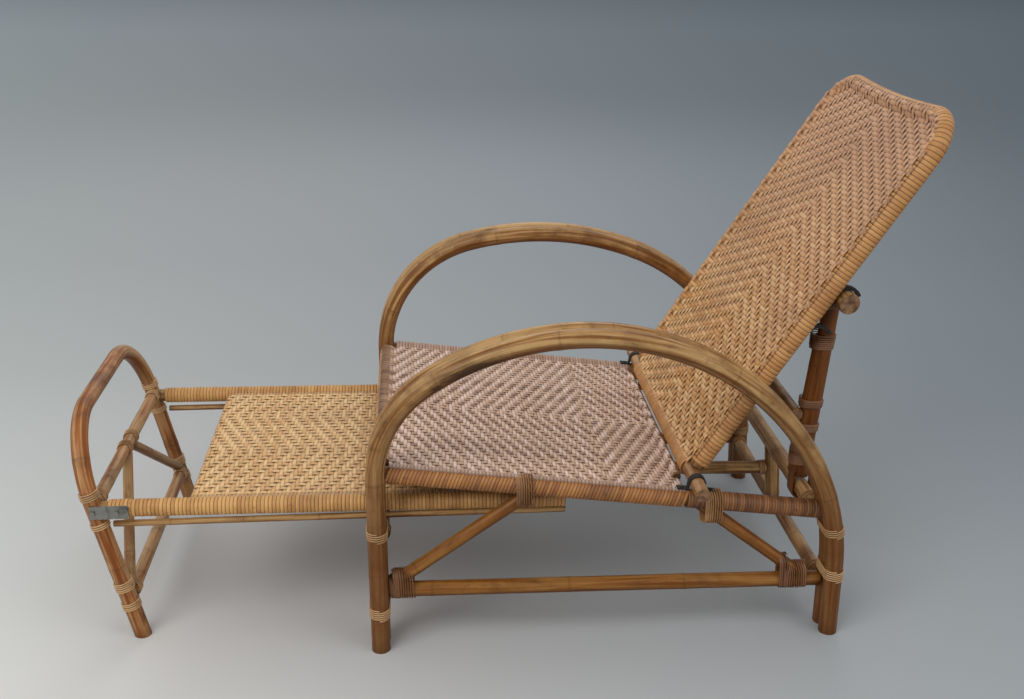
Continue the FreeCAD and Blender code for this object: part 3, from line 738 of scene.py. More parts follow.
def iron_finish(name, black, worn):
    """Blackened iron, rubbed bare and brown here and there."""
    make = Finish(name)
    here = make.places()[0]
    cloud = make.noise(here, 60.0, 5.0, 0.6)
    pits = make.noise(here, 700.0, 3.0, 0.7)
    colour = make.layered(black, (worn, cloud, 0.5, 0.7, 0.6))
    return make.done(colour, 0.38 + pits * 0.3, pits, 0.0002, {"Metallic": 0.6})


def zinc_finish(name, pale, grey):
    """Galvanised plate with its patchwork of crystals and a little dirt."""
    make = Finish(name)
    here = make.places()[0]
    stray = make.node("TexNoise", {}, {"Vector": here, "Scale": 160.0})["Color"]
    bent_place = make.node("VectorMath", {"operation": "ADD"}, {0: here, 1: stray})["Vector"]
    crystal = make.node("TexVoronoi", {}, {"Vector": bent_place, "Scale": 130.0})["Color"]
    facet = make.node("SeparateColor", {}, {"Color": crystal})["Red"]
    dirt = make.noise(here, 45.0, 5.0, 0.65)
    colour = make.layered(grey, (pale, facet, 0.35, 0.75, 1.0), (tint(62, 54, 48), dirt, 0.5, 0.66, 0.7))
    return make.done(colour, 0.2 + facet * 0.2 + dirt * 0.3, dirt, 0.0003, {"Metallic": 0.75})


def floor_finish(name, near, far):
    """A pale floor with painted light and shade: lightest just in front of the chair and to the left,
    darkening slowly with distance and toward the right.
    """
    make = Finish(name)
    parts = make.node("SeparateXYZ", {}, {"Vector": make.places()[0]})
    # Painted light and shade: the floor's colour falls off with distance, as light would.
    stops = [(0.0, tint(190, 192, 193)), (0.064, near), (0.091, tint(214, 215, 215)),
             (0.136, tint(188, 192, 193)), (0.182, tint(180, 184, 187)), (0.364, tint(179, 186, 190)),
             (0.545, tint(176, 184, 191)), (0.773, tint(154, 164, 171)), (1.0, far)]
    depth = make.node("ValToRGB", {"stops": stops}, {"Fac": make.between(parts["Y"], -2.0, 20.0)})["Color"]
    # Painted light toward the left, painted shade toward the right.
    bearing = parts["X"] * parts["Y"].worked("MAXIMUM", parts["Y"] + 4.0, 0.5) ** -1.0
    stops = [(0.0, (1.0, 1.0, 0.94)), (0.203, (0.87, 0.84, 0.81)), (0.405, (0.69, 0.69, 0.69)),
             (0.703, (0.48, 0.51, 0.53)), (1.0, (0.32, 0.36, 0.4))]
    aside = make.node("ValToRGB", {"stops": stops}, {"Fac": make.between(bearing, -0.3, 0.44)})["Color"]
    aside = make.mixed(make.between(parts["Y"], -1.8, -0.6), (0.69, 0.69, 0.69), aside)
    return make.done(make.mixed(1.0, depth, aside, "MULTIPLY"), 0.85)


def spacing(label, text, size):
    return FloatProperty(name=label, description=text + ", mm", default=size, min=3.0, max=20.0)


class ChairSizes(bpy.types.PropertyGroup):
    """Sizes of the weaving and bindings, in millimetres."""
    seat_pitch: spacing("Seat strand spacing", "From one cross strand of the seat to the next", 5.77)
    seat_spacing: spacing("Seat stake spacing", "From one lengthwise strand of the seat to the next", 11.3)
    back_pitch: spacing("Back strand spacing", "From one cross strand of the back to the next", 7.2)
    back_spacing: spacing("Back stake spacing", "From one lengthwise strand of the back to the next", 12.9)
    foot_pitch: spacing("Footrest strand spacing", "From one cross strand of the footrest to the next", 6.3)
    foot_spacing: spacing("Footrest stake spacing", "From one lengthwise strand of the footrest to the next",
                          13.3)
    stake_width: spacing("Stake width", "Width of the lengthwise strands", 7.6)
    strand_fill: FloatProperty(name="Strand fill", description="Share of the spacing that a strand covers",
                               default=0.96, min=0.5, max=1.0, subtype="FACTOR")
    strand_thick: FloatProperty(name="Strand thickness", description="Thickness of a woven strand, mm",
                                default=1.7, min=0.5, max=3.0)
    binding_width: FloatProperty(name="Binding width", default=4.2, min=2.0, max=8.0,
                                 description="Width of the cane that ties the poles, mm")
    pole_sides: IntProperty(name="Pole sides", description="Points round a pole", default=20, min=8, max=48)


def coloured(label, text, chip):
    return FloatVectorProperty(name=label, description=text, subtype="COLOR", size=3,
                               min=0.0, max=1.0, default=tint(*chip))


class ChairColours(bpy.types.PropertyGroup):
    """Colours of the cane, the weaving and the metal."""
    pole_pale: coloured("Pole highlight", "Palest fibres of the bare poles", (194, 154, 100))
    pole_golden: coloured("Pole", "Main colour of the bare poles", (148, 99, 48))
    # pole_brown is also the colour of the painted shade on the poles' undersides.
    pole_brown: coloured("Pole shade", "Darker clouds on the bare poles", (98, 54, 18))
    pole_dark: coloured("Pole fibres", "Darkest fibres and sawn ends", (62, 36, 16))
    pole_fade: coloured("Pole fading", "Greyed patches of the bare poles", (186, 148, 100))
    pole_soil: coloured("Pole dirt", "Dirt in the joints", (52, 34, 22))
    leg_brown: coloured("Leg", "Main colour of the braces and stretchers", (124, 69, 16))
    loop_red: coloured("Foot loop", "Main colour of the foot loop", (164, 90, 36))
    seat_pale: coloured("Seat highlight", "Palest strands of the seat", (238, 204, 184))
    seat_main: coloured("Seat", "Main colour of the seat", (214, 174, 142))
    back_pale: coloured("Back highlight", "Palest strands of the back", (240, 190, 130))
    back_main: coloured("Back", "Main colour of the lower back", (208, 147, 79))
    back_high: coloured("Upper back", "Colour of the back near its top", (211, 158, 118))
    foot_pale: coloured("Footrest highlight", "Palest strands of the footrest", (244, 200, 138))
    foot_main: coloured("Footrest", "Main colour of the footrest", (221, 168, 104))
    # This colour is painted shade between and under the woven strands, and it also darkens their fibres.
    crevice: coloured("Crevice", "Dirt between the strands", (92, 58, 34))
    wrap_pale: coloured("Rail binding highlight", "Palest turns round the seat rails", (190, 128, 66))
    wrap_main: coloured("Rail binding", "Main colour of the turns round the rails", (147, 88, 43))
    edge_main: coloured("Edge binding", "Colour of the turns round the back's edge", (186, 126, 66))
    iron_black: coloured("Iron", "Colour of the hooks and straps", (34, 32, 32))
    zinc_pale: coloured("Zinc", "Colour of the galvanised plate", (176, 175, 168))
    # The floor colours are painted light near the chair and painted shade far off.
    floor_near: coloured("Floor", "Colour of the floor near the camera", (233, 232, 230))
    floor_far: coloured("Far floor", "Colour of the floor far away", (122, 132, 140))


SHADES = ("pole_brown", "pole_dark", "pole_fade", "pole_soil")

# How each finish is made: its maker, its colours, which are properties or paint chips, and its options
FINISHES = {
    "pole_golden": (pole_finish, ("pole_pale", "pole_golden", *SHADES), {}),
    "pole_arch": (pole_finish, ("pole_pale", "pole_golden", *SHADES),
                  {"grime": 0.6, "low": tint(100, 51, 3), "mark": at(*ARCH_STAIN)}),
    "pole_prop": (pole_finish, ("leg_brown", (80, 42, 14), *SHADES), {"grime": 0.6}),
    "pole_leg": (pole_finish, ((152, 102, 44), "leg_brown", *SHADES), {"grime": 0.5}),
    "pole_loop": (pole_finish, ("pole_fade", "loop_red", *SHADES), {"grime": 0.45}),
    "pole_end": (pith_finish, ((150, 112, 76), (84, 56, 36)), {}),
    "seat_strand": (strand_finish, ("seat_pale", "seat_main", (158, 112, 84), "crevice"), {}),
    # The long strands of the seat take a darker copy of its colours: partly their own browner cane, partly
    # painted shade.
    "seat_cross_strand": (strand_finish, ("seat_main", (158, 118, 92), (130, 90, 66), "crevice"), {}),
    "back_strand": (strand_finish, ("back_pale", "back_main", (150, 104, 62), "crevice", "back_high"), {}),
    "foot_strand": (strand_finish, ("foot_pale", "foot_main", (180, 134, 84), (120, 80, 46)), {}),
    "seat_binding": (strip_finish, ("wrap_pale", "wrap_main", (96, 60, 34), (48, 28, 16)), {}),
    "rail_binding": (strip_finish, ((150, 96, 48), (98, 57, 26), (62, 34, 18), (34, 20, 12)), {}),
    "edge_binding": (strip_finish, ((206, 150, 88), "edge_main", (140, 90, 44), (84, 52, 26)),
                     {"patch": 0.35}),
    "foot_binding": (strip_finish, ((220, 166, 96), (188, 132, 70), (140, 92, 46), (88, 56, 30)),
                     {"patch": 0.4}),
    "roll_binding": (strip_finish, ((212, 158, 106), (162, 108, 64), (104, 66, 40), (52, 32, 20)), {}),
    "tie_strip": (strip_finish, ((178, 132, 84), (132, 88, 48), (76, 46, 24), (40, 24, 14)),
                  {"wind": False}),
    "pale_tie_strip": (strip_finish, ((206, 166, 118), (172, 126, 78), (104, 68, 38), (60, 38, 22)),
                       {"wind": False}),
    "dark_tie_strip": (strip_finish, ((142, 96, 60), (104, 64, 36), (62, 38, 22), (34, 21, 12)),
                       {"wind": False}),
    "iron": (iron_finish, ("iron_black", (72, 56, 44)), {}),
    "zinc": (zinc_finish, ("zinc_pale", (84, 80, 76)), {}),
    "floor": (floor_finish, ("floor_near", "floor_far"), {}),
}


def finish_named(name, colours):
    """The material of that name, made when first asked for."""
    found = bpy.data.materials.get(name)
    if found:
        return found
    maker, shades, options = FINISHES[name]
    shades = [tuple(getattr(colours, shade)) if isinstance(shade, str) else tint(*shade) for shade in shades]
    return maker(name, *shades, **options)


def pair(stem):
    """The names of a left and a right node."""
    return tuple(f"{stem}_{side}" for side in SIDES)


def frame_turn(degrees):
    """A turn about the Y axis that leans what stands up toward +X."""
    return Quaternion((0, 1, 0), math.radians(degrees))


def slanting(start, end, y):
    """A line that stays at one side, from one place (x, z) to another."""
    return straight(at(start[0], y, start[1]), at(end[0], y, end[1]))


def side_line(x0, x1, y, height):
    return slanting((x0, height(x0)), (x1, height(x1)), y)


def cross_line(x, z, half):
    return straight(at(x, -half, z), at(x, half, z))


def arch_line(side, layer):
    return bent(at(ARCH_X[side], SIDES[side] * ARCH_Y[layer], 0), AHEAD, ARCH_STEPS[side])


def loop_line():
    upright, corner = ("run", 256), ("bend", LOOP_CORNER, 90)
    steps = (upright, corner, ("run", 2 * (LOOP_Y - LOOP_CORNER)), corner, upright)
    return bent(at(LOOP_X, -LOOP_Y, 0), ACROSS, steps, frame_turn(-LOOP_LEAN))


# Where the back's top starts to dip, and the radius of the dip
DIP_Y = BACK_Y - BACK_CORNER * (1 + math.sin(BACK_DIP))
DIP_RADIUS = DIP_Y / math.sin(BACK_DIP)


def back_line(start):
    degrees = math.degrees(BACK_DIP)
    side, corner = ("run", BACK_RUN - start), ("bend", BACK_CORNER, 90 + degrees)
    steps = (side, corner, ("bend", DIP_RADIUS, -2 * degrees), corner, side)
    return bent(back_at(start, 0, -BACK_Y), ACROSS, steps, frame_turn(90 - BACK_TILT))


def back_top(y):
    """How far up the back its frame's middle line is at this distance from the middle."""
    if abs(y) > DIP_Y:
        return BACK_RUN + math.sqrt(max(0.0, BACK_CORNER ** 2 - (abs(y) - BACK_Y + BACK_CORNER) ** 2))
    dip = (BACK_CORNER + DIP_RADIUS) * math.cos(BACK_DIP)
    return BACK_RUN + dip - math.sqrt(DIP_RADIUS ** 2 - y * y)


def back_side(s):
    """How far from the middle the back's frame is at this distance up."""
    if s < BACK_RUN:
        return BACK_Y
    return BACK_Y - BACK_CORNER + math.sqrt(max(0.0, BACK_CORNER ** 2 - (s - BACK_RUN) ** 2))


def rear_leg(side, z):
    """Where the rear leg's middle line is at this height, and which way it points, up."""
    line = arch_line(side, "inner")
    s = line.length
    while line.at(s).z < z * MM:
        s -= 0.001
    return line.at(s).x / MM - FRONT_LEG_X, -line.heading(s)


def prop_frame():
    """Foot and heading of the prop posts, and the way forward from them."""
    foot = at(CROSSBAR[0], 0, CROSSBAR[1])
    up = (back_at(HOOK_AT, HOOK_OFF, 0) - foot).normalized()
    return foot, up, Vector((-up.z, 0, up.x))


def prop_at(up_mm, ahead_mm, y):
    foot, up, ahead = prop_frame()
    return foot + (up * up_mm + ahead * ahead_mm) * MM + Vector((0, y * MM, 0))


def prop_line(up_mm, ahead_mm, half):
    """A line across the prop, from one side to the other."""
    return straight(prop_at(up_mm, ahead_mm, -half), prop_at(up_mm, ahead_mm, half))


def tie(skin, centre, axis, radius, turns, seed, pitch, width):
    """A lashing round one pole."""
    lashing(skin, [centre] * 2, axis, radius, turns, seed, pitch, width)


def weave(skins, place, rows, columns, weft_over, reaches, widths, thick, rise, seed):
    """Weaves the strands across a panel through the ones along it.

    place(along, y, rise) gives the spot in metres, and weft_over(row, column) tells whether the strand across
    lies on top. Of skins, reaches and widths the first is for the strands across, the last for those along.
    """
    strands(skins[0], lambda y, along, up: place(along, y, up), rows, columns, weft_over,
            reaches[0], widths[0], thick, rise, seed)
    strands(skins[-1], place, columns, rows, lambda column, row: not weft_over(row, column),
            reaches[1], widths[1], thick, rise, seed + 1)


class ChairOperator:
    """What the chair's operators share. body is the one that their pieces ride on."""
    bl_options = {"REGISTER", "UNDO"}
    body = "frame"

    def start(self, context):
        self.sizes = context.scene.chair_sizes
        self.colours = context.scene.chair_colours

    def finish(self, name):
        return finish_named(name, self.colours)

    def poles(self, name, finish, runs, nodes=()):
        """One piece of bare poles, for the node of its name or for these nodes.

        Each run is (route, diameter, seed, options).
        """
        skin = Skin()
        for route, dia, seed, options in runs:
            cane_pole(skin, route, dia, seed, **{"sides": self.sizes.pole_sides, **options})
        nodes = nodes or (name,)
        skin.make(f"cane_{name}", self.body, self.finish(finish), nodes, "pole", self.finish("pole_end"))

    def bindings(self, name, finish, nodes, slot, runs):
        """One piece of bound poles. Each run is (route, diameter, pitch, seed)."""
        skin = Skin()
        for run in runs:
            bound_pole(skin, *run)
        skin.make(name, self.body, self.finish(finish), nodes, slot)

    def widths(self, pitch, wider=1.0):
        """How wide the strands of a weave are: those across it, and those along it."""
        return pitch * self.sizes.strand_fill, self.sizes.stake_width * wider


class CHAIR_OT_arches(ChairOperator, bpy.types.Operator):
    """Bends the twin poles that make the legs and arms of each side"""
    bl_idname = "chair.arches"
    bl_label = "Arches"

    def execute(self, context):
        self.start(context)
        for side, sign in SIDES.items():
            for layer, seed in (("outer", 45 + 3 * sign), ("inner", 105 + 7 * sign)):
                self.poles(f"arch_{side}_{layer}", "pole_arch",
                           [(arch_line(side, layer), ARCH_DIA, seed, {"feet": (True, True)})])
        return {"FINISHED"}


class CHAIR_OT_frame_poles(ChairOperator, bpy.types.Operator):
    """Lays the stretchers, braces and cross poles that tie the arches"""
    bl_idname = "chair.frame_poles"
    bl_label = "Frame poles"

    def execute(self, context):
        self.start(context)
        for side, sign in SIDES.items():
            y = sign * RAIL_Y
            self.poles(f"side_stretcher_{side}", "pole_leg",
                       [(side_line(*STRETCHER_ENDS, y, stretcher_z), STRETCHER_DIA, 40 + sign, {})])
            self.poles(f"braces_{side}", "pole_leg",
                       [(slanting(*FRONT_BRACE, y), BRACE_DIA, 50 + sign, {}),
                        (slanting(*REAR_BRACE, y), BRACE_DIA, 55 + sign, {})],
                       (f"front_brace_{side}", f"rear_brace_{side}"))
        self.poles("front_stretcher", "pole_leg",
                   [(cross_line(*FRONT_STRETCHER, CROSS_HALF), FRONT_STRETCHER_DIA, 61, {})])
        self.poles("rear_crossbar", "pole_golden",
                   [(cross_line(*CROSSBAR, CROSS_HALF + 3), CROSSBAR_DIA, 62, {})])
        self.poles("rear_stretcher", "pole_golden",
                   [(cross_line(*REAR_STRETCHER, CROSS_HALF), REAR_STRETCHER_DIA, 63, {}),
                    (slanting(*REAR_STRUT, 0), CROSSBAR_DIA, 64, {})],
                   ("rear_stretcher", "rear_strut"))
        self.poles("centre_runner", "pole_golden",
                   [(side_line(*RUNNER_ENDS, 0, runner_z), RUNNER_DIA, 65, {})])
        return {"FINISHED"}


class CHAIR_OT_seat_edges(ChairOperator, bpy.types.Operator):
    """Binds the seat's side rails, its front roll and its rear roll"""
    bl_idname = "chair.seat_edges"
    bl_label = "Seat edges"

    def execute(self, context):
        self.start(context)
        pitch = self.sizes.seat_pitch
        front, rear = rail_z(SEAT_FRONT_X), rail_z(SEAT_REAR_X) + SEAT_REAR_LIFT
        self.poles("seat_rails", "pole_leg",
                   [(side_line(*RAIL_ENDS, sign * RAIL_Y, rail_z), RAIL_CORE, 70 + sign, COVERED)
                    for sign in SIDES.values()]
                   + [(cross_line(SEAT_FRONT_X, front, CROSS_HALF - 1), RAIL_CORE, 73, PLAIN)],
                   (*pair("seat_side_rail"), "seat_front_rail", "seat_rear_rail"))
        self.bindings("seat_rail_binding", "seat_binding", ("seat_weave",), "seat_weave",
                      [(side_line(SEAT_WRAP_X[side], SEAT_WRAP_END, sign * RAIL_Y, rail_z), RAIL_WRAP, pitch,
                        74 + sign, 0.9) for side, sign in SIDES.items()])
        self.bindings("seat_roll_binding", "roll_binding", ("seat_weave",), "seat_weave",
                      [(cross_line(SEAT_FRONT_X, front, int(258 / pitch) * pitch), RAIL_WRAP, pitch, 77),
                       (cross_line(SEAT_REAR_X, rear, ROLL_HALF), THIN_ROLL, pitch, 78)])
        for side, sign in SIDES.items():
            bound = side_line(SEAT_WRAP_END + 0.5, RAIL_ENDS[1] - 1, sign * RAIL_Y, rail_z)
            self.bindings(f"rear_rail_binding_{side}", "rail_binding", (f"rail_wrap_{side}",),
                          "rail_wrap", [(bound, RAIL_WRAP, 4.6, 80 + sign)])
        return {"FINISHED"}


class CHAIR_OT_seat_weave(ChairOperator, bpy.types.Operator):
    """Weaves the seat in a twill of nested diamonds"""
    bl_idname = "chair.seat_weave"
    bl_label = "Seat weave"

    def execute(self, context):
        self.start(context)
        pitch = self.sizes.seat_pitch
        rows = turn_middles(SEAT_FRONT_X + 6, SEAT_REAR_X + 3, pitch)
        columns = even_lines(278, self.sizes.seat_spacing)
        middle_row = min(range(len(rows)), key=lambda k: abs(rows[k] - SEAT_EYE[0]))
        middle_column = min(range(len(columns)), key=lambda k: abs(columns[k] - SEAT_EYE[1]))

        def weft_over(row, column):
            return (abs(row - middle_row) + abs(column - middle_column)) % 4 < 2

        def lift(x, y):
            sag = 2.2 * (1 - (y / RAIL_Y) ** 2) * math.sin(math.pi * min(max(x / SEAT_REAR_X, 0), 1))
            flat = SEAT_WEAVE_LIFT - sag - max(0.0, (x - 470) / 30) * 2.5  # falls toward the rear roll
            rear = SEAT_REAR_LIFT + over_pole(x - SEAT_REAR_X, THIN_ROLL) if abs(y) < ROLL_HALF else 0.0
            edges = (over_pole(off, RAIL_WRAP) for off in (abs(y) - RAIL_Y, SEAT_FRONT_X - x))
            return max(flat, *edges, rear)

        def reach_aside(x):
            left, right = (RAIL_Y + 7 if x > SEAT_WRAP_X[side] else SEAT_CORNER_Y for side in SIDES)
            return -left, right

        def reach_along(y):
            return (SEAT_FRONT_X - 11 if abs(y) < SEAT_CORNER_Y else SEAT_WRAP_X["right"]), SEAT_REAR_X + 5

        skins = Skin(), Skin()
        weave(skins, lambda x, y, rise: at(x, y, rail_z(x) + lift(x, y) + rise), rows, columns, weft_over,
              (reach_aside, reach_along), self.widths(pitch), self.sizes.strand_thick, WEAVE_RISE, 91)
        for skin, name, finish in zip(skins, ("seat_cross_weave", "seat_long_weave"),
                                      ("seat_strand", "seat_cross_strand")):
            skin.make(name, self.body, self.finish(finish), ("seat_weave",), "seat_weave")
        return {"FINISHED"}


class CHAIR_OT_foot_poles(ChairOperator, bpy.types.Operator):
    """Bends the foot loop and lays the poles and bound rails of the footrest"""
    bl_idname = "chair.foot_poles"
    bl_label = "Footrest poles"
    body = "footrest"

    def execute(self, context):
        self.start(context)
        signs = SIDES.values()
        (high, high_shift), (low, low_shift) = LOOP_RAILS
        self.poles("foot_loop", "pole_loop", [(loop_line(), LOOP_DIA, 101, {"feet": (True, True)})])
        self.poles("loop_rails", "pole_loop",
                   [(cross_line(loop_x(z) + shift, z, LOOP_Y - 8), LOOP_RAIL_DIA, seed, {})
                    for (z, shift), seed in zip(LOOP_RAILS, (102, 103))],
                   ("loop_upper_rail", "loop_lower_rail"))
        self.poles("loop_struts", "pole_loop",
                   [(straight(at(loop_x(high - 8) + high_shift, sign * 18, high - 11),
                              at(loop_x(low + 14) + low_shift, sign * 222, low + 10)),
                     LOOP_STRUT_DIA, 104 + sign, {}) for sign in signs],
                   pair("loop_strut"))
        self.poles("foot_rails", "pole_golden",
                   [(side_line(FOOT_FRONT_X - 10, FOOT_REAR_X, sign * FOOT_RAIL_Y, foot_z), FOOT_RAIL_DIA,
                     107 + sign, PLAIN) for sign in signs],
                   (*pair("foot_side_rail"), "foot_front_rail", "foot_rear_rail"))
        self.poles("foot_skids", "pole_golden",
                   [(side_line(FOOT_FRONT_X + 8, FOOT_REAR_X + 1, sign * FOOT_RAIL_Y, lambda x: SKID_Z),
                     SKID_DIA, 110 + sign, {"sides": 14}) for sign in signs],
                   pair("foot_skid"))
        self.poles("foot_glide", "pole_golden",
                   [(cross_line(*GLIDE, GLIDE_HALF), GLIDE_DIA, 113, {}),
                    (side_line(GLIDE[0] - 19, GLIDE[0] + 19, 0, lambda x: runner_z(x) + 24.4),
                     GLIDE_SHOE_DIA, 114, PLAIN)])
        for side, sign in SIDES.items():
            bound = side_line(FOOT_FRONT_X + 4, FOOT_REAR_X - 1, sign * FOOT_RAIL_Y, foot_z)
            self.bindings(f"foot_rail_binding_{side}", "foot_binding",
                          (f"foot_rail_wrap_{side}",), "straw_wrap",
                          [(bound, FOOT_RAIL_WRAP, self.sizes.foot_pitch, 115 + sign)])
        return {"FINISHED"}


class CHAIR_OT_foot_weave(ChairOperator, bpy.types.Operator):
    """Weaves the footrest in a herringbone"""
    bl_idname = "chair.foot_weave"
    bl_label = "Footrest weave"
    body = "footrest"

    def execute(self, context):
        self.start(context)
        pitch = self.sizes.foot_pitch
        start = FOOT_WEAVE_X - 7
        turns = turn_middles(FOOT_FRONT_X + 4, FOOT_REAR_X - 1, pitch)
        rows = [x for x in turns if start < x < FOOT_WEAVE_END - 1]
        columns = even_lines(FOOT_WEAVE_HALF - 1, self.sizes.foot_spacing)

        def weft_over(row, column):
            return (row + abs(column % 24 - 12)) % 4 < 2

        def height(x, y):
            sag = 2.0 * (1 - (y / FOOT_RAIL_Y) ** 2)
            edge = over_pole(FOOT_WEAVE_X - x, THIN_ROLL) if x < FOOT_WEAVE_X else 8.6
            return foot_z(x) + min(7.4 - sag, edge - 1.2)

        skin = Skin()
        weave((skin,), lambda x, y, rise: at(x, y, height(x, y) + rise), rows, columns, weft_over,
              (lambda x: (-FOOT_WEAVE_HALF, FOOT_WEAVE_HALF), lambda y: (start, FOOT_WEAVE_END)),
              self.widths(pitch), self.sizes.strand_thick, WEAVE_RISE, 121)
        skin.make("foot_weave_strands", self.body, self.finish("foot_strand"), ("foot_weave",), "foot_weave")
        half = int((FOOT_WEAVE_HALF - 3) / pitch) * pitch
        rear = cross_line(FOOT_WEAVE_END, foot_z(FOOT_WEAVE_END), half)
        self.bindings("foot_roll_binding", "foot_binding", ("foot_weave",), "foot_weave",
                      [(cross_line(FOOT_WEAVE_X, foot_z(FOOT_WEAVE_X) - 3, half), THIN_ROLL, pitch, 123),
                       (rear, FOOT_REAR_ROLL, pitch, 124)])
        return {"FINISHED"}


class CHAIR_OT_back_frame(ChairOperator, bpy.types.Operator):
    """Bends the back's frame, binds its edge and sets it on the pivot rod"""
    bl_idname = "chair.back_frame"
    bl_label = "Back frame"
    body = "backrest"

    def execute(self, context):
        self.start(context)
        pitch = self.sizes.back_pitch
        self.poles("pivot_rod", "pole_loop",
                   [(cross_line(PIVOT_X, PIVOT_Z, PIVOT_HALF), PIVOT_DIA, 131, PLAIN)])
        self.poles("back_frame", "pole_golden",
                   [(back_line(BACK_FRAME_START), BACK_FRAME_DIA, 132, COVERED)])
        self.bindings("back_edge_binding", "edge_binding", ("back_weave",), "back_weave",
                      [(back_line(BACK_WRAP_START), BACK_WRAP, pitch, 133)])
        self.bindings("back_roll_binding", "edge_binding", ("back_weave",), "back_weave",
                      [(cross_line(PIVOT_X, PIVOT_Z, ROLL_HALF), BACK_WRAP, pitch, 134)])
        return {"FINISHED"}


class CHAIR_OT_back_weave(ChairOperator, bpy.types.Operator):
    """Weaves the back in chevrons"""
    bl_idname = "chair.back_weave"
    bl_label = "Back weave"
    body = "backrest"

    def execute(self, context):
        self.start(context)
        pitch = self.sizes.back_pitch
        rows = turn_middles(6, BACK_RUN + BACK_CORNER, pitch)
        columns = even_lines(BACK_Y + 3, self.sizes.back_spacing)
        middle = len(columns) // 2

        def weft_over(row, column):
            return (row + abs(column - middle)) % 4 < 2

        def depth(s, y):
            hollow = 3.0 * (1 - (y / BACK_Y) ** 2) * math.sin(math.pi * min(max(s / 680, 0), 1))
            flat = -8.0 + hollow - 4.0 * math.exp(-(s / 16) ** 2)  # comes forward over the pivot roll
            out = max(abs(y) - back_side(s), s - back_top(y))
            return min(flat, -over_pole(out, BACK_WRAP))

        def reach_aside(s):
            half = back_side(s) + OVERHANG if s > BACK_WEAVE_START else ROLL_HALF - 2
            return -half, half

        def reach_along(y):
            return (2 if abs(y) < ROLL_HALF else BACK_WEAVE_START), back_top(y) + OVERHANG

        skin = Skin()
        weave((skin,), lambda s, y, rise: back_at(s, depth(s, y) - rise, y), rows, columns, weft_over,
              (reach_aside, reach_along), self.widths(pitch, 1.1), self.sizes.strand_thick * 1.2,
              BACK_WEAVE_RISE, 141)
        skin.make("back_weave_strands", self.body, self.finish("back_strand"), ("back_weave",), "back_weave")
        return {"FINISHED"}


class CHAIR_OT_prop(ChairOperator, bpy.types.Operator):
    """Makes the prop: posts looped round the rear crossbar, their returned tails, the rod and the bar"""
    bl_idname = "chair.prop"
    bl_label = "Prop"
    body = "prop"

    def execute(self, context):
        self.start(context)
        length = (back_at(HOOK_AT, HOOK_OFF, 0) - prop_frame()[0]).length / MM
        for side, sign in SIDES.items():
            y = sign * PROP_Y
            post = straight(prop_at(22, PROP_AHEAD, y), prop_at(length - 3, PROP_AHEAD, y))
            tail = straight(prop_at(30, PROP_AHEAD + 10, y), prop_at(281, PROP_AHEAD + 9, y))
            self.poles(f"prop_post_{side}", "pole_prop",
                       [(post, PROP_DIA, 150 + sign, {}), (tail, PROP_DIA - 2, 153 + sign, {"taper": 0.3})])
            self.strap(side, y)
        self.poles("prop_rod", "pole_golden",
                   [(prop_line(length, 0, PROP_ROD_HALF), PROP_ROD_DIA, 156, {})])
        self.poles("prop_crossbar", "pole_golden",
                   [(prop_line(*PROP_BAR, PROP_BAR_HALF), PROP_BAR_DIA, 157, {})])
        return {"FINISHED"}

    def strap(self, side, y):
        """The thinned end of the post, bent round the crossbar and brought up in front of it."""
        lie = STRAP_LIE
        bend = [(-lie * math.sin(a), -lie * math.cos(a)) for a in (math.pi * k / 12 for k in range(13))]
        spots = [(58, -11), (30, -lie), (10, -lie), *bend, (10, lie), (30, lie + 2), (64, 20)]
        skin = Skin()
        strip(skin, Route([prop_at(*spot, y) for spot in spots]), 26, 7, 0.5, prop_frame()[2])
        skin.make(f"cane_prop_strap_{side}", self.body, self.finish("pole_prop"), (f"prop_post_{side}",),
                  "pole")


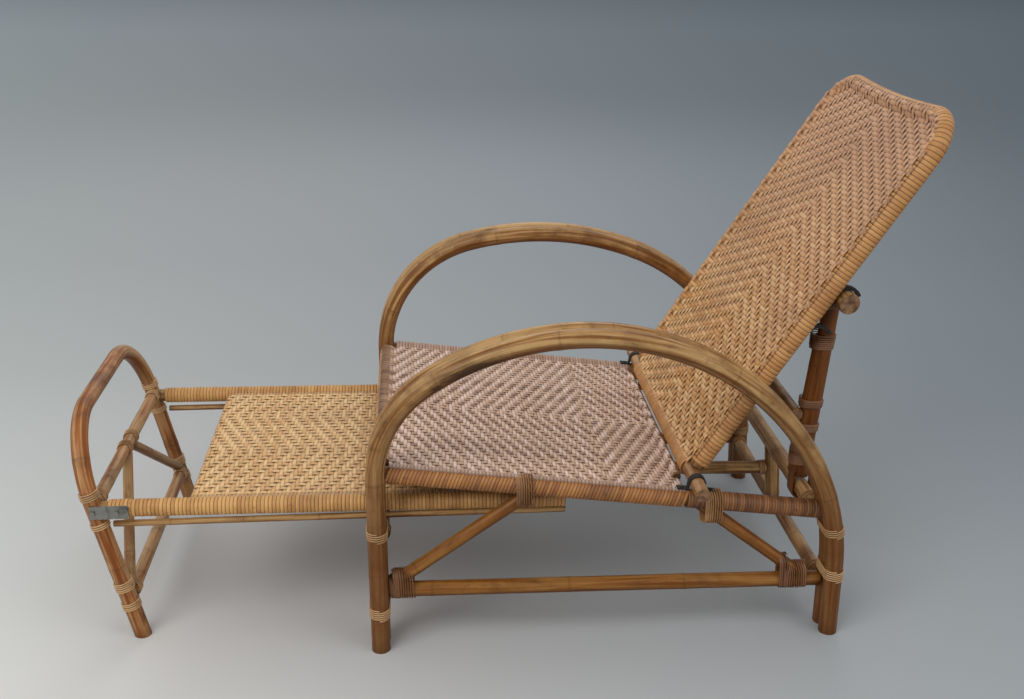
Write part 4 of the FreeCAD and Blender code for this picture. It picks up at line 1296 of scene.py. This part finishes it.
class CHAIR_OT_ties(ChairOperator, bpy.types.Operator):
    """Ties the poles together with split cane"""
    bl_idname = "chair.ties"
    bl_label = "Cane ties"

    def execute(self, context):
        self.start(context)
        wide = self.sizes.binding_width
        for side, sign in SIDES.items():
            skin = Skin()
            legs = [(ARCH_X[side], LIFT, z, turns) for z, turns in FRONT_LEG_TIES]
            legs += [(*rear_leg(side, z), z, turns) for z, turns in REAR_LEG_TIES]
            for x, lean, z, turns in legs:
                spots = [at(x, sign * ARCH_Y[layer], z) for layer in ("inner", "outer")]
                lashing(skin, spots, lean, 15.7, turns, int(z) + sign, 3.9, wide * 0.5, 1.8, sign)
            self.tied(skin, f"leg_ties_{side}", "pale_tie_strip", f"leg_lashings_{side}")
        self.frame_ties(wide)
        self.foot_ties(wide)
        skin = Skin()
        for y in (-PROP_Y, PROP_Y):
            for up_mm, turns in PROP_TIES:
                spots = [prop_at(up_mm, PROP_AHEAD, y), prop_at(up_mm, PROP_AHEAD + 9, y)]
                lashing(skin, spots, prop_frame()[1], 14.4, turns, up_mm + y, CLOSE_PITCH, wide)
        self.tied(skin, "prop_ties", "dark_tie_strip", "prop_lashings", "prop")
        return {"FINISHED"}

    def tied(self, skin, name, finish, node, body="frame"):
        skin.make(name, body, self.finish(finish), (node,), "cane")

    def frame_ties(self, wide):
        """Ties where the braces meet the stretchers and rails, and on the poles across the chair."""
        for side, sign in SIDES.items():
            y = sign * RAIL_Y
            skin = Skin()
            for x, high, turns in STRETCHER_TIES:
                spots = [at(x, y, stretcher_z(x)), at(x, y, high)]
                lashing(skin, spots, AHEAD, 13.3, turns, x + sign, CLOSE_PITCH, wide * 1.15, drift=sign * 2)
            self.tied(skin, f"stretcher_ties_{side}", "dark_tie_strip", f"leg_lashings_{side}")
            skin = Skin()
            for x, low, turns in RAIL_TIES:
                spots = [at(x, y, rail_z(x)), at(x, y, low)]
                lashing(skin, spots, AHEAD, 16.6, turns, x + sign, CLOSE_PITCH, wide * 1.1)
            for (x, z), out, radius, turns, seed in CROSS_TIES:
                tie(skin, at(x, sign * out, z), ACROSS, radius, turns, seed + sign, WIDE_PITCH, wide)
            self.tied(skin, f"frame_ties_{side}", "tie_strip", f"leg_lashings_{side}")
        skin = Skin()
        for x, turns, seed in ((30, 4, 37), (728, 3, 38)):
            tie(skin, at(x, 0, runner_z(x)), AHEAD, 12.4, turns, seed, WIDE_PITCH, wide)
        self.tied(skin, "runner_ties", "tie_strip", "leg_lashings_left")

    def foot_ties(self, wide):
        """Ties on the foot loop, where its rails and struts meet it."""
        (high, shift), (low, _) = LOOP_RAILS
        lean = (at(loop_x(high), 0, high) - at(loop_x(low), 0, low)).normalized()
        thin = wide * 0.62
        skin = Skin()
        for sign in SIDES.values():
            for z, turns in LOOP_TIES:
                tie(skin, at(loop_x(z), sign * LOOP_Y, z), lean, 14.4, turns, z + sign, CLOSE_PITCH, thin)
            for z, back in LOOP_RAILS:
                tie(skin, at(loop_x(z) + back, sign * 210, z), ACROSS, 11.4, 5, z + sign, CLOSE_PITCH, thin)
        for y in (-24, 24):
            tie(skin, at(loop_x(high) + shift, y, high), ACROSS, 11.4, 4, high + y, WIDE_PITCH, wide)
        self.tied(skin, "foot_ties", "pale_tie_strip", "foot_loop", "footrest")


class CHAIR_OT_ironwork(ChairOperator, bpy.types.Operator):
    """Gives the hooks, hinge straps, nails and plate their metal finishes"""
    bl_idname = "chair.ironwork"
    bl_label = "Ironwork"

    def execute(self, context):
        self.start(context)
        iron = ("upper_hooks", "lower_hooks", *pair("hinge_saddle"), "saddle_nails")
        for finish, nodes in (("iron", iron), ("zinc", ("loop_bracket", "bracket_bolts"))):
            for node in nodes:
                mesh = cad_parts[node].data
                mesh.materials.clear()
                mesh.materials.append(self.finish(finish))
        return {"FINISHED"}


class CHAIR_OT_stage(ChairOperator, bpy.types.Operator):
    """Sets the floor, the soft lights and the camera"""
    bl_idname = "chair.stage"
    bl_label = "Floor, lights and camera"

    def execute(self, context):
        self.start(context)
        size = 40  # metres from the middle to each side
        mesh = bpy.data.meshes.new("floor")
        corners = [(-size, -size, 0), (size, -size, 0), (size, size, 0), (-size, size, 0)]
        mesh.from_pydata(corners, [], [(0, 1, 2, 3)])
        mesh.materials.append(self.finish("floor"))
        floor = bpy.data.objects.new("floor", mesh)
        context.scene.collection.objects.link(floor)
        self.lamp("key", (-2.2, -2.6, 3.4), (0.0, 0.0, 0.3), 2.6, 80)
        self.lamp("fill", (3.2, -2.4, 2.6), (0.1, 0.0, 0.4), 2.4, 26)
        self.lamp("rear", (0.6, 3.2, 3.2), (0.0, 0.0, 0.3), 2.6, 34)
        world = bpy.data.worlds.new("studio")
        world.use_nodes = True
        back = world.node_tree.nodes["Background"]
        back.inputs["Color"].default_value = (*tint(224, 228, 232), 1.0)
        back.inputs["Strength"].default_value = 0.7
        context.scene.world = world
        self.camera(context)
        context.scene.view_settings.view_transform = "Standard"
        return {"FINISHED"}

    def lamp(self, name, place, target, size, power):
        light = bpy.data.lights.new(name, "AREA")
        light.size = size
        light.energy = power
        lamp = bpy.data.objects.new(name, light)
        lamp.location = place
        lamp.rotation_mode = "QUATERNION"
        lamp.rotation_quaternion = (Vector(target) - Vector(place)).to_track_quat("-Z", "Y")
        bpy.context.scene.collection.objects.link(lamp)

    def camera(self, context):
        """The camera at the photograph's place, lens and turn."""
        lens = bpy.data.cameras.new("camera")
        lens.sensor_width = 36.0
        lens.lens = 40.98
        camera = bpy.data.objects.new("camera", lens)
        place = at(84.7, -1965.1, 1167.4)
        yaw, pitch, roll = math.radians(4.675), math.radians(20.913), math.radians(-0.371)
        ahead = Vector((math.sin(yaw) * math.cos(pitch), math.cos(yaw) * math.cos(pitch), -math.sin(pitch)))
        right = Vector((math.cos(yaw), -math.sin(yaw), 0))
        down = ahead.cross(right)
        tipped = right * math.cos(roll) + down * math.sin(roll)
        low = down * math.cos(roll) - right * math.sin(roll)
        turn = Matrix((tipped, -low, -ahead)).transposed().to_4x4()
        camera.matrix_world = Matrix.Translation(place) @ turn
        context.scene.collection.objects.link(camera)
        context.scene.camera = camera


OPERATORS = (CHAIR_OT_arches, CHAIR_OT_frame_poles, CHAIR_OT_seat_edges, CHAIR_OT_seat_weave,
             CHAIR_OT_foot_poles, CHAIR_OT_foot_weave, CHAIR_OT_back_frame, CHAIR_OT_back_weave,
             CHAIR_OT_prop, CHAIR_OT_ties, CHAIR_OT_ironwork, CHAIR_OT_stage)


class CHAIR_PT_panel(bpy.types.Panel):
    """Buttons for each part of the chair, with its sizes and colours"""
    bl_idname = "CHAIR_PT_panel"
    bl_label = "Deck Chair"
    bl_space_type = "VIEW_3D"
    bl_region_type = "UI"
    bl_category = "Deck Chair"

    def draw(self, context):
        for group in (context.scene.chair_sizes, context.scene.chair_colours):
            box = self.layout.box()
            for key in group.__annotations__:
                box.prop(group, key)
        for operator in OPERATORS:
            self.layout.operator(operator.bl_idname)


CLASSES = (ChairSizes, ChairColours, *OPERATORS, CHAIR_PT_panel)


def register():
    for each in CLASSES:
        bpy.utils.register_class(each)
    bpy.types.Scene.chair_sizes = PointerProperty(type=ChairSizes)
    bpy.types.Scene.chair_colours = PointerProperty(type=ChairColours)


def unregister():
    del bpy.types.Scene.chair_colours
    del bpy.types.Scene.chair_sizes
    for each in reversed(CLASSES):
        bpy.utils.unregister_class(each)


def main():
    register()
    for operator in OPERATORS:
        area, name = operator.bl_idname.split(".")
        getattr(getattr(bpy.ops, area), name)()
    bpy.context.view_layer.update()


if __name__ == "__main__":
    main()
